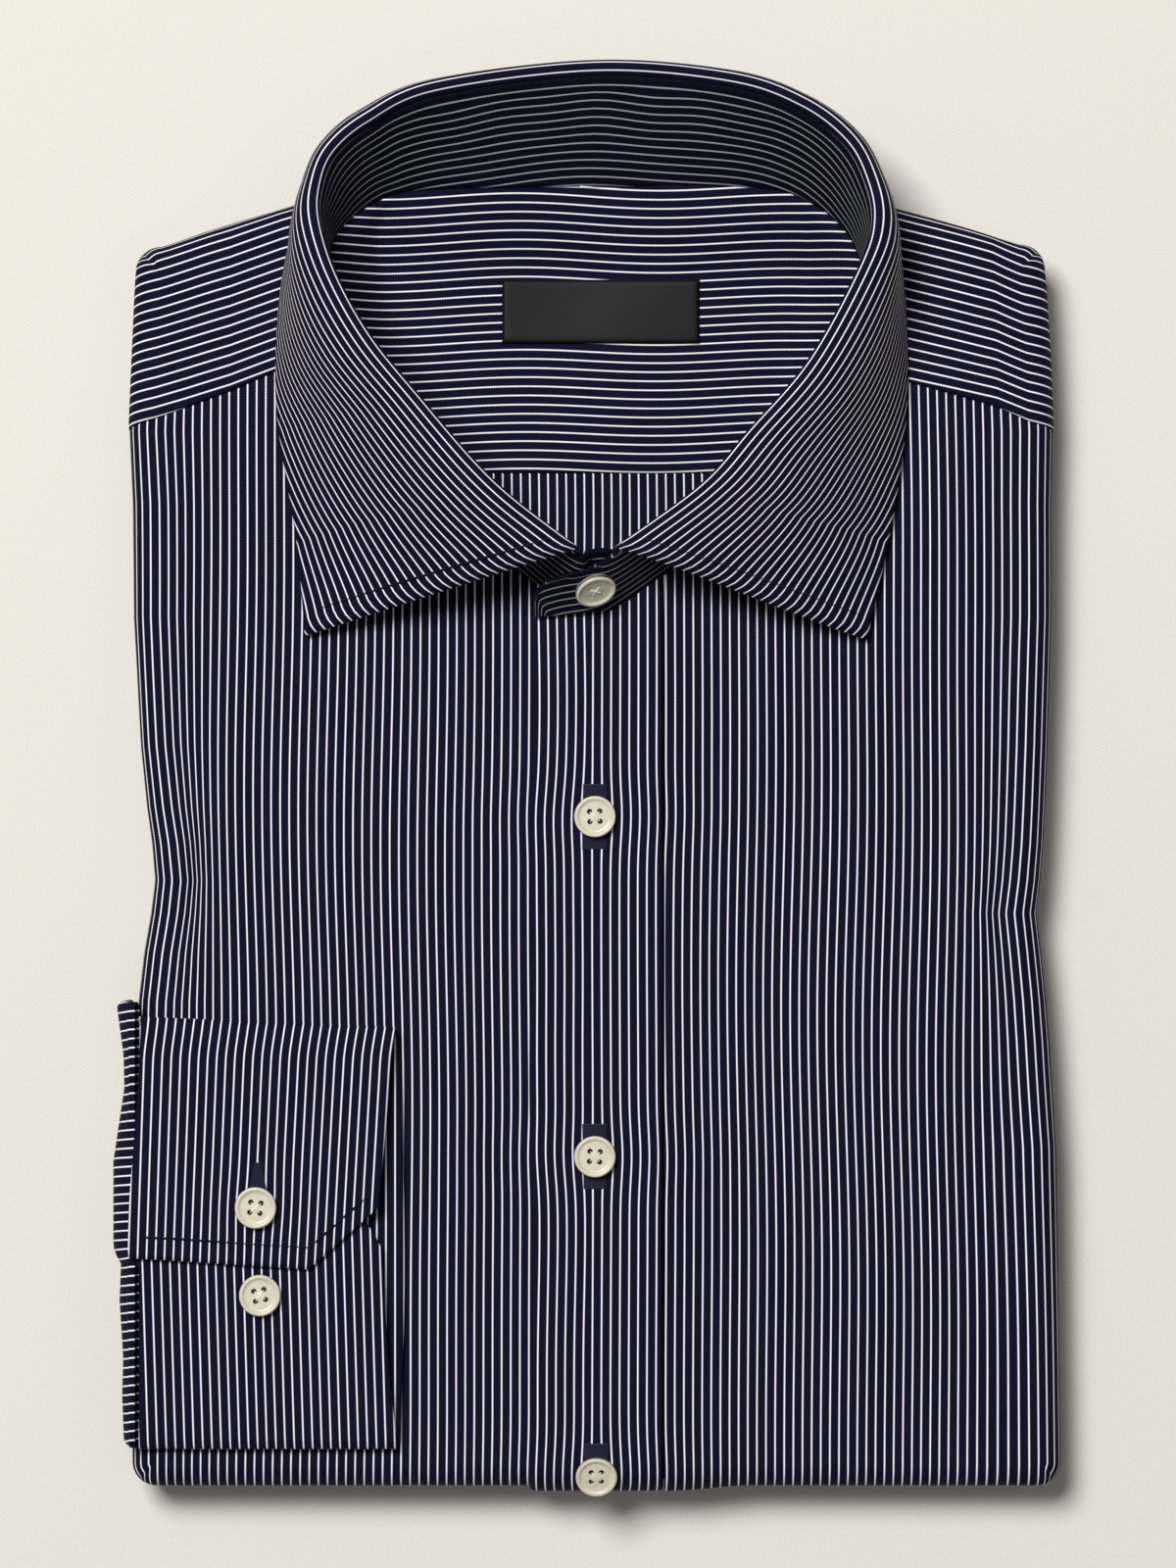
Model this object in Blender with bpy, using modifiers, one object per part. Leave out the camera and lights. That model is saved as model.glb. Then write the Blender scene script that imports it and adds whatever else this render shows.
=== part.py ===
"""Folded dress shirt, lying on its back: the hidden layers share one rounded solid, and every piece
that shows is a cloth wall over it. Lengths are in millimetres until a mesh is made."""

import math

import bpy
import numpy as np

MM = 0.001
WALL = 1.2  # cloth wall of the body pieces
COLLAR_WALL = 1.5  # collar and band, two layers and an interlining
GAP = 0.4  # air between pieces
FOLD_RADIUS = 5.0  # the hidden layers' topmost fold
LAYERS_TOP = 20.5  # height of the hidden layers under the fronts
SKIN = GAP + WALL  # outer face of a front above the hidden layers
FOLD_STEPS = 5  # rows of faces round a fold
FOLD_TURN = math.radians(150)  # how far a front goes round its fold

LEFT_FLAT = -119.2  # where the flat top ends on each side
RIGHT_FLAT = 120.7
BOTTOM_FLAT = -187.4

# How far the two side folds stand inward (left) or outward (right) of their flat ends' lines.
SIDES = {
    "y": (-195, -173, -101, -72, -61, -48, -37, -28, -18, -8, 9, 44, 75, 95, 116, 135, 146, 158),
    "left": (0.8, 0.8, 1.5, 2.2, 2.5, 4.0, 5.9, 7.0, 6.2, 4.8, 3.1, 1.2, 0.9, 0.0, 0.9, 1.8, 2.6, 2.7),
    "right": (2.5, 2.2, 1.2, -0.7, -1.6, -3.0, -4.3, -3.2, -2.4, -1.9, -1.2, -0.2, -0.2, 0.2, -0.6,
              -1.8, -3.0, -3.2),
}
SHIFT_LEFT_FROM = -40.0  # the cloth inside these lines isn't drawn sideways by the folds
SHIFT_RIGHT_FROM = 45.0
# The top fold of the body, over both shoulders and behind the neck.
SHOULDER = {
    "x": (-130, -119, -79, -68, -52, 0, 54, 68, 81, 121, 132),
    "flat_y": (136.5, 138.8, 150.7, 153.5, 156.0, 158.0, 156.3, 153.8, 150.4, 139.4, 136.6),
}
# Half width of the neck hollow, about its middle line.
NECK_MIDDLE = 1.5
NECK = {
    "y": (36, 46, 56, 70, 84, 97, 115, 133, 147, 158, 170),
    "half": (6, 14, 24, 38, 50, 60, 71, 74, 71, 60, 54),
}
# Columns and rows that pieces share, so that they lie on each other.
TOP_COLUMNS = (LEFT_FLAT, -110, -98, -84, -77, -68, -59, -45, -20, 23, 48, 62, 71, 79, 87, 100, 112,
               RIGHT_FLAT)
LOWER_ROWS = (BOTTOM_FLAT, -140, -75, -45, -28, -10, 20)
HOLLOW_FLOOR = 10.0  # hidden layers under the inner yoke
HOLLOW_SPARE = 14.0  # the hollow in the hidden layers is this much wider than the neck
BACK_NECK_HEIGHT = 0.58  # the body's height behind the neck, as a share of its full height
BACK_NECK_HALF = 76.0  # half width of that lower stretch, with its slopes
BACK_NECK_SLOPE = 18.0
BACK_NECK_FROM = 140.0  # it starts at this Y and is full this much further on
BACK_NECK_RUN = 14.0
HOLLOW_FROM = 42.0

# The two seams where the outer yoke meets the fronts.
YOKE_SEAM = {
    "x": (-119.2, -110, -98, -84, -77, -60, 60, 79, 87, 100, 112, 120.7),
    "y": (98.2, 101.4, 105.8, 111.9, 114.5, 118, 118, 111.0, 108.6, 105.0, 101.6, 97.6),
}
# Lower edge of the neck, which the fronts are cut to.
NECK_FRONT = {
    "x": (-77, -73, -70.5, -59, -37, -7, 10, 40, 63, 72, 75, 77),
    "y": (122, 118, 114, 96, 70, 47.5, 47.0, 70, 96, 110, 117, 120),
}
PLACKET_LEFT = -15.8
PLACKET_RIGHT = 20.6
PLACKET_RISE = WALL + GAP
PLACKET_TOP = 46.0
PLACKET_SLOPE_END = 46.0  # the front beside the placket comes down to the others' level by this X
PLACKET_SLOPE = 22.0

# Lower folds of the hidden layers under the front's own fold: out from the flat's end, height.
LAYER_FOLDS = ((0.6, 9.0), (4.5, 7.8), (5.4, 6.1), (3.0, 4.5), (5.1, 3.2), (5.0, 1.2), (3.6, 0.0))

# Collar sections from the left point, round the back, to the right point. crest is the top of the
# roll, edge the leaf's free edge (outer face), foot the band's lower edge. out is the compass way
# of the leaf, reach and hold are its curve's handles, tuck the slope at which it arrives.
COLLAR_COLUMNS = ("crest_x", "crest_y", "crest_z", "edge_x", "edge_y", "edge_z",
                  "foot_x", "foot_y", "foot_z", "out", "reach", "tuck", "hold")
COLLAR = (
    (-4.0, 61.8, 45.0, -75.5, 38.9, 24.6, -7.0, 48.0, 22.9, 197, 20, 20, 20),
    (-26.9, 80.0, 48.5, -79.6, 64.0, 24.4, -37.0, 70.5, 22.9, 205, 18, 32, 14),
    (-48.0, 104.0, 51.0, -84.6, 95.0, 24.0, -59.0, 96.5, 22.9, 205, 15, 50, 12),
    (-60.3, 119.4, 52.0, -85.5, 113.0, 23.8, -70.0, 115.0, 22.9, 205, 14, 68, 12),
    (-69.4, 135.9, 52.0, -84.5, 131.0, 23.6, -73.0, 132.0, 22.9, 198, 11, 78, 12),
    (-74.0, 150.7, 50.5, -81.5, 148.0, 23.8, -71.5, 146.6, 21.8, 180, 8, 88, 12),
    (-73.8, 161.0, 46.5, -78.0, 160.0, 17.5, -66.0, 154.0, 19.0, 160, 6, 92, 10),
    (-70.0, 170.6, 43.0, -72.0, 168.0, 5.0, -59.5, 158.5, 17.0, 140, 6, 110, 12),
    (-60.0, 179.4, 39.5, -59.0, 172.0, 0.5, -52.0, 161.5, 16.0, 115, 6, 150, 14),
    (-41.5, 188.2, 35.5, -40.0, 174.0, 0.5, -38.0, 162.5, 15.4, 100, 6, 178, 16),
    (2.0, 193.8, 33.5, 2.0, 175.0, 0.5, 1.0, 163.0, 15.2, 90, 6, 178, 17),
    (38.6, 190.8, 35.0, 38.0, 175.0, 0.5, 36.0, 163.2, 15.4, 82, 6, 178, 16),
    (58.2, 183.8, 38.5, 57.0, 173.0, 0.5, 53.0, 162.0, 16.0, 66, 6, 150, 14),
    (70.8, 173.9, 42.5, 73.0, 170.0, 5.0, 61.5, 158.8, 17.0, 42, 6, 110, 12),
    (76.6, 163.0, 46.0, 80.5, 161.0, 17.5, 69.0, 153.5, 19.0, 22, 6, 92, 10),
    (78.6, 151.0, 50.0, 84.6, 147.0, 23.8, 75.0, 144.5, 21.8, 0, 8, 88, 12),
    (74.8, 138.0, 51.5, 86.8, 132.0, 23.6, 77.5, 130.0, 22.9, -18, 11, 78, 12),
    (61.0, 112.5, 51.5, 87.5, 108.0, 23.8, 71.0, 110.0, 22.9, -25, 14, 66, 12),
    (44.8, 93.4, 50.0, 85.8, 86.0, 24.0, 57.0, 89.5, 22.9, -25, 16, 50, 12),
    (31.8, 78.8, 48.0, 82.0, 64.0, 24.4, 40.0, 69.5, 22.9, -25, 18, 32, 14),
    (8.8, 62.0, 45.0, 76.3, 37.8, 24.6, 10.0, 47.5, 22.9, -17, 20, 20, 20),
)
ROLL_RADIUS = 2.0
ROLL_TAIL = 2.0  # leaf beyond the roll, down to its seam with the band
ARC_STEPS = 3
LEAF_STEPS = 5
SECTION_STEPS = 2  # smooth steps between two collar sections

# The band's crossed ends, inner face: foot and top. The left end lies behind the right one.
BAND_LEFT_END = ((5.5, 51.2, 22.9, 4.5, 62.6, 35.0), (0.0, 50.6, 22.9, -0.5, 62.0, 36.5))
BAND_RIGHT_END = ((2.0, 46.4, 24.6, 0.0, 57.4, 36.0), (-7.0, 45.4, 24.6, -7.5, 55.5, 34.5),
                  (-12.4, 45.0, 24.8, -12.8, 52.8, 32.2), (-14.6, 44.8, 24.9, -15.0, 49.6, 29.6))

# Inner yoke and back, seen in the neck.
INNER_YOKE_SEAM_Y = 83.8
INNER_FLOOR = 11.8  # outer face of the inner pieces above the ground
DISH_INSET = 3.5  # the dish ends this far inside the neck's outline
DISH_FLAT_SHARE = 0.72  # share of the half width that stays flat
DISH_SIDE_RISE = 8.2
DISH_SIDE_RUN = 20.0
DISH_BACK_RISE = 4.2
DISH_BACK_FROM = 138.0
DISH_BACK_RUN = 23.0
LABEL_COLUMNS = (-23.6, 3.5, 30.6)
LABEL_ROWS = (119.5, 128.0, 137.0)
LABEL_WALL = 1.0

# Cuff section: path of its outer face from the flap's end, over the top fold, back below, round
# the lower fold and up under the flap. right is where the wrist end is.
CUFF_COLUMNS = ("y", "z", "right")
CUFF_FLAP = ((-121.0, 28.9, -57.0), (-112.0, 28.9, -56.6), (-95.0, 28.6, -55.2), (-80.0, 28.3, -54.1),
             (-71.0, 28.0, -53.0))
CUFF_TOP_FOLD = ((-67.6, 27.2, -52.5), (-66.1, 25.4, -52.4), (-67.6, 23.6, -52.0), (-71.0, 22.8, -51.5))
CUFF_BELOW = ((-100.0, 22.8, -50.6), (-140.0, 22.8, -50.2), (-178.0, 22.8, -51.2))
CUFF_LOW_FOLD = ((-181.8, 23.3, -51.6), (-183.3, 24.9, -52.0), (-181.8, 26.4, -52.2), (-178.0, 27.0, -52.6))
CUFF_UNDER = ((-160.0, 27.1, -54.2), (-140.0, 27.1, -55.2), (-119.0, 27.1, -56.4))
CUFF_LEFT = -122.6
CUFF_WALL = 1.2
FLAP_END = {"x": (-124, -93, -76, -57), "y": (-130.8, -133.0, -134.0, -117.0)}

# Sleeve end: path of its outer face over the left edge, x and z.
SLEEVE_PATH = ((-123.6, 27.6), (-126.0, 26.8), (-128.6, 23.6), (-129.6, 18.0), (-129.4, 10.0), (-128.6, 3.0))
SLEEVE_TOP_Y = -61.5
SLEEVE_BOTTOM_Y = -182.5
SLEEVE_DEPTH = 3.4  # the flattened sleeve, both walls
SLEEVE_WALL = 1.1

BUTTON_RADIUS = 5.7
BUTTON_RIM = 1.0
BUTTON_THICK = 2.4
BUTTON_DISH = 0.7
HOLE_RADIUS = 0.65
HOLE_OFFSET = 2.0  # a hole's middle from the button's
BUTTON_SIDES = 24
# centre, then tilt about X and turn about Z in degrees
BUTTONS = {
    "button_band": (2.0, 51.2, 34.3, 51, 20),
    "button_front_upper": (1.9, -10.5, 25.2, 0, 2),
    "button_front_middle": (1.9, -103.4, 25.2, 0, -3),
    "button_front_lower": (2.3, -190.8, 24.9, 20, 0),
    "button_cuff": (-90.6, -117.1, 30.4, 0, -6),
    "button_cuff_spare": (-89.5, -141.1, 28.6, 0, 10),
}

NAVY = (0.022, 0.02, 0.075, 1)
CREAM = (0.78, 0.72, 0.58, 1)
BLACK = (0.012, 0.012, 0.013, 1)


def smooth(value):
    value = np.clip(value, 0.0, 1.0)
    return value * value * (3 - 2 * value)


def read(table, column, at, by="x"):
    return np.interp(at, table[by], table[column])


def body_share(x, y):
    """The body's height as a share of its full one: it is lower behind the neck."""
    across = smooth((BACK_NECK_HALF - np.abs(x - NECK_MIDDLE)) / BACK_NECK_SLOPE)
    behind = across * smooth((y - BACK_NECK_FROM) / BACK_NECK_RUN)
    return 1 - (1 - BACK_NECK_HEIGHT) * behind


def hollow_share(x, y):
    """The same for the hidden layers, with the neck hollow in them."""
    body = body_share(x, y)
    floor = HOLLOW_FLOOR / LAYERS_TOP
    across = np.abs(x - NECK_MIDDLE) < read(NECK, "half", y, "y") + HOLLOW_SPARE
    inside = across & (y > HOLLOW_FROM) & (y < read(SHOULDER, "flat_y", x) - 1)
    return np.where(inside, floor, body)


def side_shift(x, y):
    """Sideways shift of the cloth, which follows the side folds and fades inwards."""
    left_share = smooth((SHIFT_LEFT_FROM - x) / (SHIFT_LEFT_FROM - LEFT_FLAT))
    right_share = smooth((x - SHIFT_RIGHT_FROM) / (RIGHT_FLAT - SHIFT_RIGHT_FROM))
    left = read(SIDES, "left", y, "y") * left_share
    right = read(SIDES, "right", y, "y") * right_share
    return left + right


def material(name, colour, rough):
    made = bpy.data.materials.new(name)
    made.use_nodes = True
    shader = made.node_tree.nodes["Principled BSDF"]
    shader.inputs["Base Color"].default_value = colour
    shader.inputs["Roughness"].default_value = rough
    return made


def add_object(name, points, faces, colour=NAVY, rough=0.8, group=None):
    """One named object from points in millimetres."""
    mesh = bpy.data.meshes.new(name)
    mesh.from_pydata((np.asarray(points) * MM).tolist(), [], faces)
    mesh.validate()
    made = bpy.data.objects.new(name, mesh)
    (group or shirt).objects.link(made)
    if group is None:
        made.data.materials.append(material(name, colour, rough))
    return made


def grid_faces(rows, columns):
    """Quads over a grid of points stored row by row."""
    at = np.arange(rows * columns).reshape(rows, columns)
    corners = (at[:-1, :-1], at[:-1, 1:], at[1:, 1:], at[1:, :-1])
    quads = np.stack(corners, axis=-1).reshape(-1, 4)
    return quads.tolist()


def cloth(name, points, wall, colour=NAVY):
    """A wall made from the grid of its outer face, thickened inwards."""
    rows, columns = points.shape[:2]
    made = add_object(name, points.reshape(-1, 3), grid_faces(rows, columns), colour)
    solid = made.modifiers.new("wall", "SOLIDIFY")
    solid.thickness = wall * MM
    solid.offset = -1
    solid.use_even_offset = True
    solid.thickness_clamp = 0
    return made


def around(flat_x, flat_y, step_x, step_y, out, height, share):
    """Points over the body: flat_x, flat_y is on the flat top, step_x, step_y say which way and how
    many rows past its end a point lies, out is its distance past the end and height its height."""
    length = np.maximum(np.hypot(step_x, step_y), 1e-9)
    x = flat_x + side_shift(flat_x, flat_y) + out * step_x / length
    y = flat_y + out * step_y / length
    return np.stack([x, y, height * share], axis=-1)


def fold_out(steps, lift):
    return (FOLD_RADIUS + lift) * np.sin(steps * FOLD_TURN / FOLD_STEPS)


def fold_height(steps, lift):
    middle = LAYERS_TOP - FOLD_RADIUS
    return middle + (FOLD_RADIUS + lift) * np.cos(steps * FOLD_TURN / FOLD_STEPS)


def columns_with_folds(flat, folds_low, folds_high):
    """Flat positions with the extra rows round a fold at either end: position and step."""
    low = np.arange(-FOLD_STEPS, 0) if folds_low else np.zeros(0, int)
    high = np.arange(1, FOLD_STEPS + 1) if folds_high else np.zeros(0, int)
    where = np.concatenate([np.full(len(low), flat[0]), flat, np.full(len(high), flat[-1])])
    return where, np.concatenate([low, np.zeros(len(flat), int), high])


def body_panel(name, flat_x, folds_x, rows_y, folds_y, lift):
    """A panel of the body. rows_y(x) gives the rows of flat positions, from the lowest up, and
    lift(x, y) is its outer face above the hidden layers."""
    xs, step_x = columns_with_folds(np.array(flat_x, float), *folds_x)
    rows = rows_y(xs)
    row, step_y = columns_with_folds(np.arange(len(rows)), *folds_y)
    y = rows[row.astype(int)]
    x = np.broadcast_to(xs, y.shape)
    sx, sy = np.meshgrid(step_x, step_y)
    steps = np.maximum(np.abs(sx), np.abs(sy))
    share = body_share(x, y)
    raised = lift(x, y) / share
    points = around(x, y, sx, sy, fold_out(steps, raised), fold_height(steps, raised), share)
    return cloth(name, points, WALL)


def rows_between(x, low, high, shares):
    return low(x) + (high(x) - low(x)) * np.array(shares)[:, None]


def hidden_layers():
    """The hidden layers as one closed solid: flat top with the neck hollow, folds all round."""
    flat_x = np.array(TOP_COLUMNS)
    flat_y = np.array([*LOWER_ROWS, 41, 44, 56, 70, 84, 100, 122, 146, 999])
    rounds = 1 + FOLD_STEPS + len(LAYER_FOLDS)
    order = np.arange(1, rounds)
    xs = np.concatenate([np.full(rounds - 1, flat_x[0]), flat_x, np.full(rounds - 1, flat_x[-1])])
    ys = np.concatenate([np.full(rounds - 1, flat_y[0]), flat_y, np.full(rounds - 1, flat_y[-1])])
    step_x = np.concatenate([-order[::-1], np.zeros(len(flat_x), int), order])
    step_y = np.concatenate([-order[::-1], np.zeros(len(flat_y), int), order])
    x, y = np.meshgrid(xs, ys)
    y = np.minimum(y, read(SHOULDER, "flat_y", x))
    sx, sy = np.meshgrid(step_x, step_y)
    folds = np.arange(FOLD_STEPS + 1)
    out_row = np.concatenate([fold_out(folds, 0.0), [row[0] for row in LAYER_FOLDS]])
    height_row = np.concatenate([fold_height(folds, 0.0), [row[1] for row in LAYER_FOLDS]])
    steps = np.maximum(np.abs(sx), np.abs(sy))
    points = around(x, y, sx, sy, out_row[steps], height_row[steps], hollow_share(x, y))
    rows, columns = x.shape
    faces = grid_faces(rows, columns)
    at = np.arange(rows * columns).reshape(rows, columns)
    rim = [*at[0, :-1], *at[:-1, -1], *at[-1, :0:-1], *at[:0:-1, 0]]
    faces.append([int(i) for i in rim[::-1]])
    return add_object("folded_layers", points.reshape(-1, 3), faces)


def body_pieces():
    """Fronts, placket and outer yoke over the hidden layers."""
    top = lambda x: read(SHOULDER, "flat_y", x)
    seam = lambda x: read(YOKE_SEAM, "y", x)
    waist = lambda x: np.full_like(x, LOWER_ROWS[-1])
    front_top = lambda x: np.minimum(seam(x), read(NECK_FRONT, "y", x)) - GAP / 2
    still = lambda x: np.array(LOWER_ROWS[:-1])[:, None] + 0 * x
    front_rows = lambda x: np.vstack([still(x), rows_between(x, waist, front_top, (0, 0.3, 0.6, 0.8, 1))])
    flat_skin = lambda x, y: np.full_like(y, SKIN)
    near_placket = lambda x, y: SKIN + PLACKET_RISE * smooth((PLACKET_SLOPE_END - x) / PLACKET_SLOPE)
    over = lambda x, y: np.full_like(y, SKIN + PLACKET_RISE)
    body_panel("front_right", (LEFT_FLAT, -110, -98, -84, -77, -70.5, -59, -37, -7, 18.5),
               (True, False), front_rows, (True, False), flat_skin)
    body_panel("front_left", (PLACKET_RIGHT + GAP, 40, 63, 71, 79, 87, 100, 112, RIGHT_FLAT),
               (False, True), front_rows, (True, False), near_placket)
    placket_rows = lambda x: np.vstack([still(x), waist(x)[None], 0 * x[None] + PLACKET_TOP])
    body_panel("placket", (PLACKET_LEFT, -3.7, 8.4, PLACKET_RIGHT), (False, False), placket_rows,
               (True, False), over)
    yoke_low = lambda x: np.where(np.abs(x - NECK_MIDDLE) > BACK_NECK_HALF, seam(x) + GAP / 2, top(x) - 0.5)
    yoke_rows = lambda x: rows_between(x, yoke_low, top, (0, 0.33, 0.67, 1))
    yoke_skin = lambda x, y: np.full_like(y, SKIN + 0.2)
    body_panel("yoke_outer", TOP_COLUMNS, (True, True), yoke_rows, (False, True), yoke_skin)


def inner_pieces():
    """Inner yoke and the inside of the back, a shallow dish in the neck hollow."""
    def dish(name, y_rows, shares):
        across, y = np.meshgrid(np.array(shares), np.array(y_rows, float))
        x = NECK_MIDDLE + across * (read(NECK, "half", y, "y") - DISH_INSET)
        at_side = smooth((np.abs(across) - DISH_FLAT_SHARE) / (1 - DISH_FLAT_SHARE))
        side_rise = DISH_SIDE_RISE * at_side * smooth((y - INNER_YOKE_SEAM_Y) / DISH_SIDE_RUN)
        back_rise = DISH_BACK_RISE * smooth((y - DISH_BACK_FROM) / DISH_BACK_RUN)
        z = INNER_FLOOR + np.maximum(side_rise, back_rise)
        return cloth(name, np.stack([x, y, z], axis=-1), WALL)

    shares = (-1, -0.9, -0.78, -0.5, 0, 0.5, 0.78, 0.9, 1)
    dish("yoke_inner", (INNER_YOKE_SEAM_Y + GAP / 2, 95, 108, 120, 132, 138, 145, 152, 158.4), shares)
    dish("back_inside", (49, 60, 72, INNER_YOKE_SEAM_Y - GAP / 2), (-0.6, -0.3, 0, 0.3, 0.6))
    label_x, label_y = np.meshgrid(LABEL_COLUMNS, LABEL_ROWS)
    label = np.stack([label_x, label_y, np.full_like(label_x, INNER_FLOOR + GAP + LABEL_WALL)], axis=-1)
    cloth("neck_label", label, LABEL_WALL, BLACK)


def through(rows, steps):
    """A smooth curve through the rows, with `steps` steps from each row to the next."""
    rows = np.asarray(rows, float)
    padded = np.concatenate([[2 * rows[0] - rows[1]], rows, [2 * rows[-1] - rows[-2]]])
    before, start, end, after = padded[:-3], padded[1:-2], padded[2:-1], padded[3:]
    part = np.arange(steps) / steps
    found = []
    for t in part:
        curve = 2 * start + (end - before) * t
        curve = curve + (2 * before - 5 * start + 4 * end - after) * t**2
        found.append(0.5 * (curve + (3 * start - before - 3 * end + after) * t**3))
    inner = np.stack(found, axis=1).reshape(-1, rows.shape[1])
    return np.concatenate([inner, rows[-1:]])


def collar_sections():
    """The collar table made smooth, as named columns, with the compass way as a vector."""
    rows = through(COLLAR, SECTION_STEPS)
    found = dict(zip(COLLAR_COLUMNS, rows.T))
    way = np.radians(found["out"])
    found["way"] = np.stack([np.cos(way), np.sin(way), np.zeros_like(way)], axis=-1)
    for place in ("crest", "edge", "foot"):
        found[place] = np.stack([found[place + axis] for axis in ("_x", "_y", "_z")], axis=-1)
    return found


def roll_frame(cut):
    """The roll's centre, the way down the band and the way from it to the neck, per section."""
    up = np.array([0.0, 0.0, 1.0])
    centre = cut["crest"] - up * ROLL_RADIUS
    down = cut["foot"] - centre
    down /= np.linalg.norm(down, axis=1)[:, None]
    along = np.sum(down * cut["way"], axis=1)[:, None]
    flat = np.sqrt(along**2 + down[:, 2:] ** 2)
    inward = (cut["way"] * down[:, 2:] - up * along) / flat
    return centre, down, inward


def collar_leaf(cut):
    """The leaf: from its seam just inside the neck, over the roll, down to its free edge."""
    centre, down, inward = roll_frame(cut)
    up = np.array([0.0, 0.0, 1.0])
    seam_point = centre + ROLL_RADIUS * inward
    points = [seam_point + down * ROLL_TAIL]
    lean = np.arctan2(-np.sum(inward * cut["way"], axis=1), inward[:, 2])
    for step in range(ARC_STEPS):
        angle = (lean * (1 - step / ARC_STEPS))[:, None]
        points.append(centre + ROLL_RADIUS * (up * np.cos(angle) - cut["way"] * np.sin(angle)))
    tuck = np.radians(cut["tuck"])[:, None]
    arrive = cut["way"] * np.cos(tuck) - up * np.sin(tuck)
    second = cut["crest"] + cut["way"] * cut["reach"][:, None]
    third = cut["edge"] - arrive * cut["hold"][:, None]
    for t in np.linspace(0, 1, LEAF_STEPS + 1):
        near = (1 - t) ** 3 * cut["crest"] + 3 * (1 - t) ** 2 * t * second
        points.append(near + 3 * (1 - t) * t**2 * third + t**3 * cut["edge"])
    return cloth("collar_leaf", np.stack(points, axis=0), COLLAR_WALL)


def collar_stand(cut):
    """The band: from its foot on the neck seam up to the leaf's seam, its ends crossed."""
    centre, down, inward = roll_frame(cut)
    foot = cut["foot"] + ROLL_RADIUS * inward
    head = centre + ROLL_RADIUS * inward + down * (ROLL_TAIL + GAP)
    left = np.array(BAND_LEFT_END)
    right = np.array(BAND_RIGHT_END)
    foot = np.concatenate([left[:, :3], foot, right[:, :3]])
    head = np.concatenate([left[:, 3:], head, right[:, 3:]])
    share = np.array([0.0, 0.5, 1.0])[:, None, None]
    return cloth("collar_stand", foot + (head - foot) * share, COLLAR_WALL)


def cuff():
    """The cuff: a flattened tube with a lapped end, cut off at its lower wrist corner."""
    across = np.linspace(0, 1, 6)
    flap_columns = np.array([-122.6, -108, -93, -76, -66, -57.0])
    end_y = read(FLAP_END, "y", flap_columns)
    rows = [np.stack([flap_columns, end_y, np.full(6, CUFF_FLAP[0][1])], axis=-1)]
    path = [*CUFF_FLAP[1:], *CUFF_TOP_FOLD, *CUFF_BELOW, *CUFF_LOW_FOLD, *CUFF_UNDER]
    for y, z, right in path:
        x = CUFF_LEFT + (right - CUFF_LEFT) * across
        rows.append(np.stack([x, np.full(6, y), np.full(6, z)], axis=-1))
    return cloth("cuff", np.stack(rows, axis=0), CUFF_WALL)


def sleeve_end():
    """The sleeve's lower end: a flattened tube bent over the left edge of the body."""
    path = through(SLEEVE_PATH, 2)
    along = np.gradient(path, axis=0)
    along /= np.linalg.norm(along, axis=1)[:, None]
    inward = np.stack([-along[:, 1], along[:, 0]], axis=-1)
    radius = SLEEVE_DEPTH / 2
    turn = np.radians(np.array([90, 135, 180, 225, 270]))
    low_y = SLEEVE_BOTTOM_Y + radius + radius * np.cos(turn)
    low_depth = radius - radius * np.sin(turn)
    high_y = SLEEVE_TOP_Y - radius - radius * np.cos(turn)
    ring_y = np.concatenate([low_y, high_y, low_y[:1]])
    ring_depth = np.concatenate([low_depth, SLEEVE_DEPTH - low_depth, low_depth[:1]])
    x = path[:, None, 0] + inward[:, None, 0] * ring_depth[None, :]
    z = path[:, None, 1] + inward[:, None, 1] * ring_depth[None, :]
    y = np.broadcast_to(ring_y, x.shape)
    points = np.stack([x, y, z], axis=-1)[:, :-1]
    rows, columns = points.shape[:2]
    at = np.arange(rows * columns).reshape(rows, columns)
    after = np.roll(at, -1, axis=1)
    faces = np.stack([at[:-1], at[1:], after[1:], after[:-1]], axis=-1).reshape(-1, 4)
    made = add_object("sleeve_end", points.reshape(-1, 3), faces.tolist())
    solid = made.modifiers.new("wall", "SOLIDIFY")
    solid.thickness = SLEEVE_WALL * MM
    solid.offset = -1
    return made


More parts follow.
